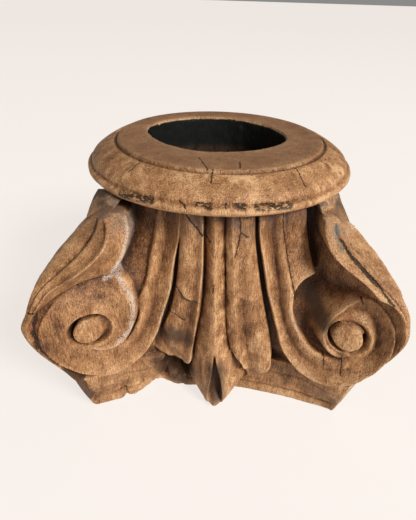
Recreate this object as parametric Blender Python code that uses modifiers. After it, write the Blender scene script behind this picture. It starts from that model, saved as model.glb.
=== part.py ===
"""Column base: a four-cornered Ionic capital, carved from one block of wood and stood upside down.

The block is lofted through level sections from the abacus, which is now the foot, up to the
turned collar. Each section joins four carved faces at four corner leaves. The collar is turned
and united with the block, and the socket is bored into its top.
Lengths are in millimetres until a mesh is made, and z runs up from the underside of the foot.
"""
import math

import bmesh
import bpy
import numpy as np

MM = 0.001

# Driving dimensions.
TOTAL_HEIGHT = 258.5
COLLAR_UNDERSIDE = 228.8
COLLAR_CENTRE = (-3.3, -2.8)
BELL_RADIUS = 119.0
FACE_MIDDLE_DEPTH = 103.0
ABACUS_MIDDLE_DEPTH = 98.0
ABACUS_HEIGHT = 56.0
VOLUTE_EYE = (118.0, 116.0)
EYE_RADIUS = 13.2
SOCKET_CENTRE = (-7.3, 8.0)
SOCKET_HALF_WIDTHS = (72.5, 65.0)
SOCKET_TURN = math.radians(-15.0)
SOCKET_DEPTH = 90.0

# Fineness of the loft, and the share of its faces that the finished block keeps.
SECTION_COUNT = 200
FRONT_COLUMNS = 150
FACE_COLUMNS = 100
LEAF_COLUMNS = 17
KEPT_SHARE = 0.033
COLLAR_SIDES = 64
SOCKET_SIDES = 48


# ---------------------------------------------------------------- curves and steps

def rise(low, high, value):
    """A smooth step from 0 at low to 1 at high."""
    share = np.clip((value - low) / (high - low), 0.0, 1.0)
    return share * share * (3.0 - 2.0 * share)


def mix(first, second, share):
    return first + (second - first) * share


def through(keys, value):
    """A smooth curve through (place, height) keys, held level beyond its ends."""
    places = np.array([key[0] for key in keys], float)
    heights = np.array([key[1] for key in keys], float)
    slopes = np.gradient(heights, places)
    value = np.clip(value, places[0], places[-1])
    index = np.clip(np.searchsorted(places, value) - 1, 0, len(places) - 2)
    width = places[index + 1] - places[index]
    share = (value - places[index]) / width
    square, cube = share ** 2, share ** 3
    return ((2 * cube - 3 * square + 1) * heights[index]
            + (cube - 2 * square + share) * width * slopes[index]
            + (3 * square - 2 * cube) * heights[index + 1]
            + (cube - square) * width * slopes[index + 1])


def ridge(distance, width):
    """A rounded ridge of height 1 across a line."""
    return np.exp(-(distance / width) ** 2)


def strips(across, lines):
    """A surface through lines that run up the face, each (place, height, bend to the next).

    A bend over 1 keeps the higher side round and the lower one sharp, and one under 1 does
    the reverse.
    """
    surface = np.zeros(np.shape(across)) + lines[0][1]
    for (place, height, bend), (next_place, next_height, _) in zip(lines[:-1], lines[1:]):
        share = np.clip((across - place) / np.maximum(next_place - place, 0.5), 0.0, 1.0)
        falling = height + (next_height - height) * share ** bend
        rising = next_height + (height - next_height) * (1.0 - share) ** bend
        here = np.where(height > next_height, falling, rising)
        surface = np.where(across >= place, here, surface)
    return surface


# ---------------------------------------------------------------- corner leaves

# The corner leaf on the right of each face, starting with the front.
CORNERS = ("front_right", "back", "back", "front_left")
# How far out along both axes each leaf reaches at each height, from the foot to the collar.
LEAF_REACH = {
    "front_left": [(0, 129.5), (6, 131.5), (14, 133.5), (27, 136), (36, 137.5), (43, 139),
                   (56, 142.2), (64, 145), (72, 147.6), (84, 152.2), (100, 158.2), (110, 161.5),
                   (118, 163.5), (128, 165.2), (136, 165.6), (141, 164), (146, 161.7),
                   (154, 159), (169, 151.8), (178, 144), (186, 135.5), (193, 127.6), (201, 119.5),
                   (209, 112.5), (215, 110), (221, 108)],
    "front_right": [(0, 128.7), (6, 130), (14, 131.8), (27, 134.1), (36, 135.7), (43, 137),
                    (56, 138.7), (64, 140), (72, 142), (84, 147.3), (100, 154), (118, 159),
                    (128, 160.7), (136, 160.8), (145, 159.4), (157, 155.8), (169, 146.4),
                    (178, 136), (186, 126.6), (193, 118), (201, 109.5), (208, 105),
                    (215, 103), (221, 101)],
    "back": [(0, 129), (14, 132.5), (27, 135), (43, 137.5), (56, 140.2), (64, 142.4), (72, 144.8),
             (84, 150), (100, 156.3), (118, 161), (130, 162), (145, 159.2), (157, 155),
             (169, 147.3), (178, 138.8), (186, 130.5), (193, 123), (201, 116), (208, 110.5),
             (215, 107), (221, 105)],
}
# How far out the plain block behind each leaf reaches, up to the collar.
BLOCK_REACH = {
    "front_left": [(205, 112), (209, 110), (215, 106.5), (220, 102.5), (225, 98.5), (229, 94.5),
                   (233, 89)],
    "front_right": [(201, 106), (208, 101), (215, 96), (221, 92), (229, 88), (233, 84)],
    "back": [(201, 108), (208, 104), (215, 98), (221, 93), (229, 87.5), (233, 84)],
}
# Half widths of the leaves, towards the front and away from it.
LEAF_NEAR = {
    "front_left": [(0, 1), (6, 3.5), (12, 6), (20, 8.5), (36, 12), (50, 12.5), (62, 10), (75, 7),
                   (95, 4.5), (125, 4), (145, 5), (157, 8), (170, 13), (180, 23), (190, 29),
                   (196, 29.8), (202, 27.5), (208, 20.5), (214, 16),
                   (218, 14), (222, 12), (229, 11)],
    "front_right": [(0, 1), (6, 3.5), (12, 6), (20, 8.5), (36, 12), (50, 12.5), (62, 10), (75, 7),
                    (95, 4.5), (125, 3.5), (145, 4), (160, 5.5), (170, 8), (180, 11.8), (190, 13.4),
                    (200, 12.8), (206, 12.4), (212, 11.5), (219, 9), (229, 8)],
    "back": [(0, 1), (6, 3.5), (12, 6), (20, 8.5), (36, 12), (50, 12.5), (62, 10), (75, 7),
             (95, 4.5), (125, 3.5), (145, 4), (160, 5.5), (170, 8), (180, 12), (190, 15.5),
             (200, 16), (207, 14.5), (213, 12.5), (220, 11), (229, 10)],
}
LEAF_FAR = {
    "front_left": [(0, 1), (6, 3.5), (12, 6), (20, 8.5), (36, 12), (50, 12.5), (62, 10), (75, 7),
                   (95, 4.5), (125, 3.5), (145, 3.5), (160, 4), (170, 6), (180, 9), (190, 12),
                   (200, 13), (208, 13), (214, 15), (220, 19), (229, 23)],
    "front_right": [(0, 1), (6, 3.5), (12, 6), (20, 8.5), (36, 12), (50, 12.5), (62, 10), (75, 7),
                    (95, 4.5), (125, 3.5), (145, 4), (160, 6), (170, 8.5), (180, 12), (190, 15),
                    (198, 15), (203, 17),
                    (208, 20), (214, 22), (221, 23.5), (229, 24)],
    "back": [(0, 1), (6, 3.5), (12, 6), (20, 8.5), (36, 12), (50, 12.5), (62, 10), (75, 7),
             (95, 4.5), (125, 3.5), (145, 4), (160, 5.5), (170, 8), (180, 12), (190, 15.5),
             (200, 16), (207, 14.5), (213, 12.5), (220, 11), (229, 10)],
}
# Ribs and grooves across a leaf: share of the half width, then depth below its surface.
LEAF_RIBS = {
    "front_left": [(-1.0, 1.0, 1.0), (-0.5, -0.6, 1.0), (0.02, 1.4, 1.6), (0.2, 6.4, 0.6),
                   (0.4, 0.2, 1.2), (0.72, 6.6, 1.3), (1.0, 0.0, 1.0)],
    "front_right": [(-1.0, 1.0, 1.0), (-0.7, 0.0, 1.0), (-0.25, 1.2, 1.0), (-0.1, 3.6, 0.8),
                    (0.08, 1.0, 1.8), (0.55, 9.0, 0.5), (0.72, 1.2, 1.0), (0.86, 0.0, 1.0),
                    (1.0, 1.2, 1.0)],
    "back": [(-1.0, 0.0, 1.8), (-0.55, 5.5, 0.7), (-0.12, 0.2, 1.0), (0.12, 0.2, 1.8),
             (0.55, 5.5, 0.7), (1.0, 0.0, 1.0)],
}
# How fully the ribs are cut at each height.
GROOVES_CUT = [(0, 0), (120, 0), (136, 0), (142, 0.04), (152, 0.45), (165, 0.85), (185, 1),
               (203, 0.95), (211, 0.6), (217, 0.05), (221, 0)]
# The height of each leaf's top at its near edge, its middle and its far edge.
LEAF_TOPS = {"front_left": (222.5, 220.0, 209.0), "front_right": (219.0, 218.5, 203.0),
             "back": (209.0, 219.0, 209.0)}


def ribs_across(z, share, corner):
    """How deep the leaf lies below its reach, for a share of its half width."""
    places = LEAF_RIBS[corner]
    depth = strips(share, [(place, -sunk, bend) for place, sunk, bend in places])
    scooped = 1.8 * rise(4.0, 20.0, z) * rise(66.0, 45.0, z) * (1.0 - share ** 2)
    rounded = 1.2 * share ** 2 * rise(95.0, 150.0, z)
    return scooped + rounded - depth * through(GROOVES_CUT, z)


def leaf_outward(z, share, corner):
    """How far out along the diagonal the leaf lies, or the plain block above its top."""
    near, middle, far = LEAF_TOPS[corner]
    top = np.where(share > 0.0, mix(middle, near, share), mix(middle, far, -share))
    leaf = math.sqrt(2.0) * through(LEAF_REACH[corner], z) - ribs_across(z, share, corner)
    leaf = leaf - 5.0 * rise(top - 7.0, top, z) ** 2
    plain = math.sqrt(2.0) * through(BLOCK_REACH[corner], z)
    return mix(leaf, plain, rise(top - 0.8, top + 0.8, z))


def leaf_edge(z, corner, side):
    """Where a face ends: its half width and depth along the edge of the corner leaf."""
    half = through((LEAF_NEAR if side == "near" else LEAF_FAR)[corner], z)
    outward = leaf_outward(z, np.ones_like(z) * (1.0 if side == "near" else -1.0), corner)
    return (outward - half) / math.sqrt(2.0), (outward + half) / math.sqrt(2.0)


def leaf_surface(z, share, corner):
    """Places across the leaf from its near edge, at 1, to its far edge, at -1."""
    near, far = through(LEAF_NEAR[corner], z), through(LEAF_FAR[corner], z)
    across = np.where(share > 0.0, share * near, share * far)
    outward = leaf_outward(z, share, corner)
    return (outward - across) / math.sqrt(2.0), (outward + across) / math.sqrt(2.0)


# ---------------------------------------------------------------- volutes

FIRST_ANGLE = 121.0
# Distance from the eye against degrees turned, from the collar, under the eye and winding in.
FILLET = {
    "crisp": [(126, 150), (142, 103), (161, 77), (189, 63), (218, 65), (239, 65.5), (256, 61),
              (276, 52), (301, 41.5), (320, 37.5), (341, 36), (374, 37.5), (393, 40.5), (412, 44),
              (427, 45), (441, 41.5), (461, 32.5), (484, 26), (525, 22), (565, 23), (614, 24),
              (640, 20)],
    "worn": [(123, 153), (139, 104.5), (161, 77), (181, 65.5), (202, 63.5), (227, 63.5), (249, 60),
             (276, 49), (301, 42), (330, 40), (358, 40), (377, 41), (399, 42), (436, 47),
             (462, 50), (484, 56), (513, 47), (532, 42), (551, 38), (575, 35), (596, 29),
             (622, 22)],
}
# The inner side of the band between its fillet and the next turn, in the same terms.
BAND_INSIDE = {
    "crisp": [(118, 140), (125, 108), (131, 90), (136, 77), (147, 60), (169, 48), (201, 39),
              (229, 35), (245, 31), (262, 26), (281, 19), (481, 18)],
    "worn": [(118, 128), (130, 84), (140, 66), (153, 48), (172, 43), (191, 39), (215, 36),
             (236, 30), (262, 24), (275, 19), (481, 19)],
}
# How deep the band is hollowed, against degrees turned.
BAND_HOLLOW = {
    "crisp": [(121, 5), (190, 5.5), (235, 4.5), (262, 3.5), (300, 5), (340, 8.5), (400, 9),
              (440, 5.5), (480, 2.5), (640, 1)],
    "worn": [(121, 5.5), (190, 5), (235, 3), (262, 2), (300, 1.5), (640, 1.5)],
}
# How far the fillet stands out along the band, and how far the worn disc is raised.
FILLET_HEIGHT = {
    "crisp": [(121, 2.6), (230, 2.2), (300, 2.4), (440, 3.4), (560, 3.0), (640, 1.0)],
    "worn": [(121, 3.0), (230, 2.4), (300, 0.6), (440, 0.6), (484, 1.6), (600, 1.2), (640, 0.2)],
}
DISC_HEIGHT = {
    "crisp": [(121, 0), (640, 0)],
    "worn": [(121, 0), (300, 0.5), (400, 3.5), (480, 5), (560, 5), (600, 3.2), (640, 0.5)],
}
# The outer limit of the hollow behind the second turn of a crisp volute.
HOLLOW_RADIUS = [(15, 41), (40, 48), (62, 52), (91, 51), (109, 53), (124, 57), (137, 58),
                 (154, 53), (172, 46), (200, 38), (240, 30)]
HOLLOW_DEPTH = [(15, 6), (45, 9), (75, 15), (105, 22), (160, 21), (200, 17), (240, 12)]


def volute_plane(x, z):
    """The concave sweep that the volutes lie on, leaning back a little as it rises."""
    sweep = 0.47 * (np.sqrt(x ** 2 + 45.0 ** 2) - 45.0)
    lean = 0.15 * (z - 117.0) * rise(40.0, 110.0, np.abs(x))
    return FACE_MIDDLE_DEPTH + sweep - lean


def ground_curve(x, z):
    """Round under the collar, turning into the sweep of the volutes further down."""
    bell = np.sqrt(np.maximum(BELL_RADIUS ** 2 - x ** 2, 60.0 ** 2))
    return mix(volute_plane(x, z), bell, rise(138.0, 228.0, z))


def band_surface(base, radius, turned, kind):
    """The band of a volute at one turn: its outer and inner limits, and its hollowed surface."""
    outer = through(FILLET[kind], turned)
    inner = np.where(turned < 281.0, np.minimum(through(BAND_INSIDE[kind], turned), outer - 4.0),
                     EYE_RADIUS + 3.0)
    hollow = through(BAND_HOLLOW[kind], turned)
    width = np.maximum(outer - inner, 4.0)
    fillet_height = through(FILLET_HEIGHT[kind], turned)
    roll_height = mix(1.5, 0.3, rise(200.0, 250.0, turned)) - 0.25 * hollow
    surface = base + through(DISC_HEIGHT[kind], turned) + strips(outer - radius, [
        (0.0, fillet_height - 3.0, 2.0), (2.4, fillet_height, 0.8),
        (0.5 * width, -hollow, 1.5), (0.84 * width, roll_height, 2.2),
        (width, roll_height - 2.2, 1.0), (width + 8.0, roll_height - 2.4, 1.0)])
    return outer, inner, surface


def add_volute(depth, x, z, kind):
    """Carve the strap and volute of one half face, where x runs from the middle outwards."""
    across, up = x - VOLUTE_EYE[0], z - VOLUTE_EYE[1]
    radius = np.hypot(across, up)
    angle = np.degrees(np.arctan2(up, across)) % 360.0
    turned = np.where(angle < FIRST_ANGLE, angle + 360.0, angle)
    winds_again = turned < 281.0
    base = ground_curve(x, z)
    outer, inner, band = band_surface(base, radius, turned, kind)
    second, _, again = band_surface(base, radius, turned + 360.0, kind)
    if kind == "crisp":
        trough_start = np.where(winds_again, second, outer)
        hollow_edge = through(HOLLOW_RADIUS, angle)
        span = np.maximum(hollow_edge - trough_start, 3.0)
        away = np.clip((radius - trough_start) / span, 0.0, 1.0)
        sunk = through(HOLLOW_DEPTH, angle)
        trough = base + 2.0 - sunk * np.sin(math.pi * away ** 0.8 * 0.72) ** 0.9
        in_trough = rise(-2.2, 1.0, hollow_edge - radius) * rise(8.0, 30.0, angle)
        in_trough = in_trough * (angle < 281.0)
        depth = mix(depth, np.maximum(trough, x + 2.0), in_trough)
    in_band = rise(-1.0, 1.0, outer - radius) * rise(-1.0, 1.0, radius - inner)
    depth = mix(depth, band, in_band)
    depth = mix(depth, again, rise(-1.0, 1.0, second - radius) * winds_again)

    towards_husk = np.clip(np.cos(np.radians(angle - 165.0)), 0.0, 1.0)
    away_from_husk = np.clip(np.cos(np.radians(angle)), 0.0, 1.0)
    moat_width = 2.6 + (5.5 * towards_husk if kind == "worn" else 3.2 * away_from_husk)
    moat_depth = 6.0 - (2.0 * towards_husk if kind == "worn" else 0.0)
    moat = moat_depth * rise(moat_width, 0.25 * moat_width, radius - EYE_RADIUS - 1.0)
    depth = depth - moat
    button = base + 4.0 - 2.5 * (radius / EYE_RADIUS) ** 4
    if kind == "crisp":
        button = button + 0.09 * (-across * 0.6 - up * 0.8) - 1.0
    return mix(depth, button, rise(-1.0, 1.0, EYE_RADIUS - radius))


# ---------------------------------------------------------------- one carved face

TAIL_EDGE = {
    "crisp": [(148, 145), (157, 139), (169, 129.5), (178, 119), (187, 104), (194, 94), (204, 88),
              (212, 86), (219, 86), (229, 84)],
    "worn": [(143, 150), (147, 141), (154, 121), (161, 106), (169, 93), (179, 86.5), (192, 82),
             (205, 79), (214, 80), (220, 82), (225, 90)],
}
TAIL_DEPTH = {
    "crisp": [(148, 160), (157, 158), (169, 152), (178, 146), (187, 138), (194, 130), (204, 120.5),
              (212, 114), (220, 109), (229, 104)],
    "worn": [(143, 128), (154, 126), (166, 124), (178, 120), (198, 117), (224, 113)],
}
TAIL_TOP = {"crisp": 219.0, "worn": 222.0}


def add_tail(depth, x, z, kind, edge, is_front):
    """The flank of the corner leaf, which stands in front of a slot beside the strap."""
    edge_x, edge_depth = edge
    inner = through(TAIL_EDGE[kind], z)
    inner_depth = through(TAIL_DEPTH[kind], z)
    share = np.clip((x - inner) / np.maximum(edge_x - inner, 3.0), 0.0, 1.0)
    if kind == "crisp":
        front = mix(inner_depth, edge_depth, share) + 1.8 * np.sin(math.pi * share)
    else:
        front = mix(inner_depth, edge_depth, share ** 1.6) + 1.2 * np.sin(math.pi * share)
    soft = 2.5 if kind == "crisp" else 2.0
    top = TAIL_TOP[kind] if is_front else 240.0
    shown = rise(-soft, 0.8, x - inner) * rise(140.0, 147.0, z)
    shown = shown * rise(top + 1.5, top - 1.5, z)
    return mix(depth, front, shown)


def part_from_leaf(depth, x, z, kind):
    """The dark cut between a volute's outer side and the edge of the corner leaf."""
    across, up = x - VOLUTE_EYE[0], z - VOLUTE_EYE[1]
    radius = np.hypot(across, up)
    angle = np.degrees(np.arctan2(up, across))
    outer = through(FILLET[kind], angle + 360.0)
    gap = 2.6 if kind == "crisp" else 1.2
    cut = 6.0 if kind == "crisp" else 3.0
    reach = rise(-75.0, -50.0, angle) * rise(72.0, 50.0, angle)
    return depth - cut * ridge(radius - outer - gap, 0.8 * gap + 0.6) * reach


STAND = [(0, 28), (8, 30), (20, 28), (45, 21), (80, 16), (140, 14), (190, 6), (228, 1.5)]
HUSK_LEFT = [(66, -24), (90, -20.5), (110, -17.5), (143, -15.5), (174, -15), (201, -15.5),
             (228, -15.5)]
HUSK_CREST = [(66, -1), (90, -2.2), (110, -3.2), (143, -4.5), (174, -5.2), (201, -5.8),
              (228, -6.5)]
HUSK_RIGHT = [(66, 14), (90, 9.8), (110, 8), (143, 6.3), (174, 4.7), (201, 3.2), (228, 2.2)]
RIM = {"round": [(40, 31), (50, 27.5), (66, 24.5), (90, 21.5), (110, 18.5), (143, 14.5),
                 (174, 12), (201, 9.3), (228, 8)],
       "broken": [(50, 28), (66, 25.5), (90, 23), (110, 21.3), (143, 18), (174, 16.4),
                  (201, 16.7), (228, 17.2)]}
OUTER_EDGE = {"round": [(50, 58.2), (66, 57.5), (90, 53.3), (110, 48.5), (143, 40.5), (174, 34),
                        (201, 29.2), (228, 27)],
              "broken": [(52, 63), (72, 63.5), (90, 58), (110, 49.5), (143, 41.8), (174, 38.3),
                         (201, 37), (228, 35)]}


def strip_surface(x, z):
    """The surface that the crests of husk and tongues lie on."""
    return ground_curve(x, z) + through(STAND, z) * np.exp(-(x / 28.0) ** 2)


def add_tongue(depth, x, z, end, husk_edge):
    """One tongue, where x runs from the middle outwards and husk_edge is where it starts."""
    rim = through(RIM[end], z)
    outer = through(OUTER_EDGE[end], z)
    width = outer - rim
    rim_height = 0.6 if end == "round" else 1.2
    belly = 1.2 + 2.4 * ridge(z - 76.0, 22.0)
    valley = mix(2.8, 0.6, rise(95.0, 150.0, z)) + (1.0 if end == "broken" else 0.0)
    surface = strip_surface(x, z) + strips(x, [
        (husk_edge, -8.0, 1.7), (rim, rim_height, 0.75), (rim + 0.22 * width, -valley, 1.3),
        (rim + 0.6 * width, belly, 2.0), (outer - 1.0, -2.5, 1.0), (outer + 6.0, -9.0, 1.0)])
    share = (x - rim) / width
    if end == "round":
        surface = surface + 1.5 * rise(-1.2, 1.2, z - 133.0 - 26.0 * (share - 0.55) ** 2)
        below = np.minimum(z - 49.5, 0.0)
        middle, half = 43.0, 15.5
        inside = np.where(z > 49.5, outer - x, half - np.hypot(x - middle, below))
        surface = surface - 5.0 * (np.clip(-below, 0.0, 15.0) / 15.0) ** 2
        shown = rise(-1.0, 1.0, inside)
    else:
        surface = surface + 2.2 * rise(-1.0, 1.0, z - 131.0 - 0.9 * np.maximum(x - 28.0, 0.0))
        surface = surface + 0.8 * rise(-1.0, 1.0, z - 108.0 - 0.95 * np.maximum(x - 30.0, 0.0))
        arris = 56.0 + 2.35 * (x - 33.0)
        surface = surface - 0.32 * np.clip(arris - z - 4.0, 0.0, 26.0)
        broken_line = 42.4 + 0.78 * (x - 33.5)
        broken_line = np.where(x < 33.5, 42.4 + 1.2 * (33.5 - x), broken_line)
        shown = rise(-1.0, 1.0, outer - x) * rise(-1.0, 1.0, z - broken_line)
    shown = shown * rise(-0.5, 0.5, x - husk_edge)
    return mix(depth, surface, shown)


LOBES_LEFT = [(0, -2), (2, -7), (6, -12.5), (11, -18), (16, -23.5), (21, -27.5), (25, -28.5),
              (31, -27), (38, -25.8), (52, -24.5), (66, -24)]
LOBES_RIGHT = [(0, 4), (2, 9.5), (6, 16), (11, 23), (16, 29.5), (20, 34), (24, 35.5), (29, 33.5),
               (36, 30.5), (44, 28), (50, 26.5), (58, 21), (66, 16)]
SLIT_LEFT = [(6, -6.6), (20, -6.4), (42, -3.6), (66, -2.2)]
SLIT_RIGHT = [(6, 7.4), (20, 7.2), (38, 4.5), (54, 0.5), (66, -1.4)]


def add_husk(depth, x, z):
    """The ridged husk in the middle of a face, its two lobes, and the slit over its tip."""
    left = np.where(z < 66.0, through(LOBES_LEFT, z), through(HUSK_LEFT, z))
    right = np.where(z < 66.0, through(LOBES_RIGHT, z), through(HUSK_RIGHT, z))
    crest = through(HUSK_CREST, z)
    base = strip_surface(x, z) - 0.006 * x ** 2 * rise(60.0, 35.0, z)
    flank = strips(x, [(left, -8.0, 1.25), (crest, 0.0, 1.25), (right, -8.0, 1.0),
                       (right + 5.0, -8.0, 1.0)])
    lobed = strips(x, [
        (left, -9.0, 2.2), (mix(left, crest, 0.35), -3.5, 1.2), (crest, 0.0, 1.2),
        (mix(crest, right, 0.45), -2.0, 1.2), (right, -8.5, 1.0), (right + 5.0, -8.5, 1.0)])
    surface = base + mix(flank, lobed, rise(90.0, 62.0, z))
    fold = rise(-0.8, 0.8, x - 15.5 - 0.06 * (z - 30.0)) * rise(70.0, 60.0, z) * rise(24.0, 34.0, z)
    surface = surface - 3.2 * fold
    surface = surface - 2.0 * rise(-0.8, 0.8, -13.5 - 0.12 * (z - 30.0) - x) * rise(66, 50, z)
    from_left, from_right = x - through(SLIT_LEFT, z), through(SLIT_RIGHT, z) - x
    open_here = rise(-0.8, 0.8, np.minimum(from_left, from_right)) * rise(68.0, 62.0, z)
    surface = surface - through([(0, 0), (6, 2), (14, 9), (40, 9), (68, 4)], z) * open_here
    lips = ridge(from_left + 1.6, 1.8) + ridge(from_right + 1.6, 1.8)
    surface = surface + 1.6 * lips * rise(72.0, 55.0, z) * rise(6.0, 16.0, z)
    surface = surface + 3.0 * ridge(np.hypot(x - 0.8, (z - 8.0) * 0.8), 5.0)
    surface = surface - 5.0 * rise(7.0, 0.0, z)
    inside = np.minimum(x - left, right - x)
    return mix(depth, surface, rise(-0.9, 0.9, inside))


def foot_depth(x, z, broken):
    """The concave side of the foot, with a shallow groove above its bottom fillet."""
    half_x = np.abs(x)
    side = ABACUS_MIDDLE_DEPTH + 30.0 * (half_x / 126.0) ** 1.5
    flare = 13.0 * rise(4.0, 42.0, z) * rise(85.0, 126.0, half_x) + 3.0 * rise(18.0, 50.0, z)
    groove = 2.4 * ridge(z - 11.5, 2.0) - 0.8 * ridge(z - 15.5, 2.0)
    groove = groove + 1.4 * ridge(z - 36.0, 2.2)
    side = side + flare - groove
    if broken:
        lost = 16.0 * ridge(x + 64.0, 12.0) + 4.0 * ridge(x + 98.0, 3.0) + 5.0 * ridge(x + 44.0, 12.0)
        lost = lost * rise(30.0, 8.0, z)
        shelf = 3.0 * rise(-1.0, 1.0, -99.0 - x) * rise(9.0, 5.0, z)
        split = 2.5 * rise(-92.0, -78.0, x) * rise(13.0, 9.0, z) * rise(-48.0, -58.0, x)
        inward = np.hypot((x + 42.0) / 25.0, (z - 34.0) / 24.0)
        rotten = 24.0 * rise(1.05, 0.6, inward)
        side = side - lost + shelf - split - rotten
    return side


def face_depth(x, z, front, left_edge, right_edge):
    """Depth of a carved face in front of the axis, for x across it and z up it."""
    half_x = np.abs(x)
    curve = ground_curve(half_x, z)
    panel_drop = np.where((x < 0.0) & front, 5.5, 2.2)
    behind = 9.0 + 7.0 * rise(75.0, 58.0, z)
    ground = curve - mix(behind, panel_drop, rise(48.0, 58.0, half_x) * rise(112.0, 135.0, z))
    slot = np.maximum(curve - 26.0, half_x + 2.5)
    slot_start = through([(140, 106), (165, 88), (195, 79), (226, 74)], z)
    slot_start = slot_start + np.where((x < 0.0) & front, 10.0, 0.0)
    ground = mix(ground, slot, rise(-1.5, 2.5, half_x - slot_start))
    depth = np.maximum(ground, half_x + 2.5)
    on_foot = rise(ABACUS_HEIGHT + 1.5, ABACUS_HEIGHT - 1.5, z)
    depth = mix(depth, foot_depth(x, z, front), on_foot)
    for side in (-1.0, 1.0):
        worn = front and side < 0.0
        kind = "worn" if worn else "crisp"
        end = "broken" if worn else "round"
        husk_side = -through(HUSK_LEFT, z) if side < 0.0 else through(HUSK_RIGHT, z)
        edge = left_edge if side < 0.0 else right_edge
        carved = add_tail(depth, half_x, z, kind, edge, front)
        carved = add_volute(carved, half_x, z, kind)
        carved = part_from_leaf(carved, half_x, z, kind)
        carved = add_tongue(carved, half_x, z, end, husk_side)
        depth = np.where(x * side >= 0.0, carved, depth)
    return add_husk(depth, x, z)


# ---------------------------------------------------------------- the lofted block

def face_section(heights, turn):
    """Points of one face for every section, from its left leaf edge to its right one."""
    front = turn == 0
    columns = FRONT_COLUMNS if front else FACE_COLUMNS
    left_x, left_depth = leaf_edge(heights, CORNERS[turn - 1], "near" if front else "far")
    right_x, right_depth = leaf_edge(heights, CORNERS[turn], "far" if turn == 3 else "near")
    share = np.linspace(0.0, 1.0, columns)[None, :]
    x = mix(-left_x[:, None], right_x[:, None], share)
    z = np.repeat(heights[:, None], columns, axis=1)
    depth = face_depth(x, z, front, (left_x[:, None], left_depth[:, None]),
                       (right_x[:, None], right_depth[:, None]))
    depth = mix(depth, left_depth[:, None], rise(3.0, 0.0, left_x[:, None] + x))
    depth = mix(depth, right_depth[:, None], rise(3.0, 0.0, right_x[:, None] - x))
    return x, np.maximum(depth, np.abs(x) + 0.5), z


def leaf_section(heights, turn):
    """Points across the corner leaf on the right of a face, without its two edges."""
    shares = np.linspace(1.0, -1.0, LEAF_COLUMNS + 2)[1:-1]
    if turn == 3:
        shares = -shares
    z = np.repeat(heights[:, None], LEAF_COLUMNS, axis=1)
    places = np.repeat(shares[None, :], len(heights), axis=0)
    x, depth = leaf_surface(z, places, CORNERS[turn])
    if turn == 3:
        x, depth = depth, x
    return x, depth, z


def loft_points():
    """Every section of the block as rows of points running round it."""
    heights = np.linspace(-2.0, COLLAR_UNDERSIDE + 4.0, SECTION_COUNT)
    rows = []
    for turn in range(4):
        for x, depth, z in (face_section(heights, turn), leaf_section(heights, turn)):
            across, out = x, -depth
            for _ in range(turn):
                across, out = -out, across
            rows.append(np.stack([across, out, z], axis=2))
    return np.concatenate(rows, axis=1)


def lofted_mesh(name, points):
    """A closed mesh through rows of points, with a flat cap at each end."""
    rows, columns = points.shape[:2]
    faces = []
    for row in range(rows - 1):
        for column in range(columns):
            following = (column + 1) % columns
            low, high = row * columns, (row + 1) * columns
            faces.append((low + column, low + following, high + following, high + column))
    faces.append(tuple(reversed(range(columns))))
    faces.append(tuple(range((rows - 1) * columns, rows * columns)))
    mesh = bpy.data.meshes.new(name)
    mesh.from_pydata((points.reshape(-1, 3) * MM).tolist(), [], faces)
    return mesh


# ---------------------------------------------------------------- collar, socket and floor

# The collar's turned outline, as radius and height, from its underside to the flat of its top.
COLLAR_OUTLINE = [(125, 228.8), (129, 229.6), (131.7, 232.4), (132.1, 234.4), (131.2, 236.8),
                  (129.0, 238.2), (127.6, 240.6), (124.6, 244.8), (118.4, 249.3),
                  (111.0, 253.8), (105, 256.7), (102.8, 256.9), (101.4, 258.5)]


def collect(name):
    collection = bpy.data.collections.new(name)
    bpy.context.scene.collection.children.link(collection)
    return collection


def place(name, mesh, collection):
    item = bpy.data.objects.new(name, mesh)
    collection.objects.link(item)
    return item


def as_cutter(item, collection):
    """Move an object into the cutters' collection and keep it out of the finished part."""
    for home in list(item.users_collection):
        home.objects.unlink(item)
    collection.objects.link(item)
    item.hide_render = True
    item.display_type = "WIRE"
    return item


def turned_collar(middle, collection):
    """The collar, turned about its own centre, a little off the middle of the block."""
    outline = [(0.0, COLLAR_UNDERSIDE), *COLLAR_OUTLINE, (0.0, TOTAL_HEIGHT)]
    profile = [(reach * MM, 0.0, height * MM) for reach, height in reversed(outline)]
    edges = [(index, index + 1) for index in range(len(profile) - 1)]
    mesh = bpy.data.meshes.new("turned_collar")
    mesh.from_pydata(profile, edges, [])
    collar = place("turned_collar", mesh, collection)
    collar.location.x = (COLLAR_CENTRE[0] - middle[0]) * MM
    collar.location.y = (COLLAR_CENTRE[1] - middle[1]) * MM
    screw = collar.modifiers.new("turn", "SCREW")
    screw.steps = COLLAR_SIDES
    screw.render_steps = COLLAR_SIDES
    screw.use_merge_vertices = True
    screw.merge_threshold = 0.0001
    return as_cutter(collar, collection)


def socket_outline():
    """The socket's outline: an oval drawn out to blunt points at its two ends."""
    points = []
    for side in range(SOCKET_SIDES):
        turn = 2.0 * math.pi * side / SOCKET_SIDES
        right = abs(math.cos(turn - SOCKET_TURN)) / SOCKET_HALF_WIDTHS[0]
        back = abs(math.sin(turn - SOCKET_TURN)) / SOCKET_HALF_WIDTHS[1]
        radius = (right ** 1.8 + back ** 1.8) ** (-1.0 / 1.8)
        points.append((radius * math.cos(turn), radius * math.sin(turn)))
    return points


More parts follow.
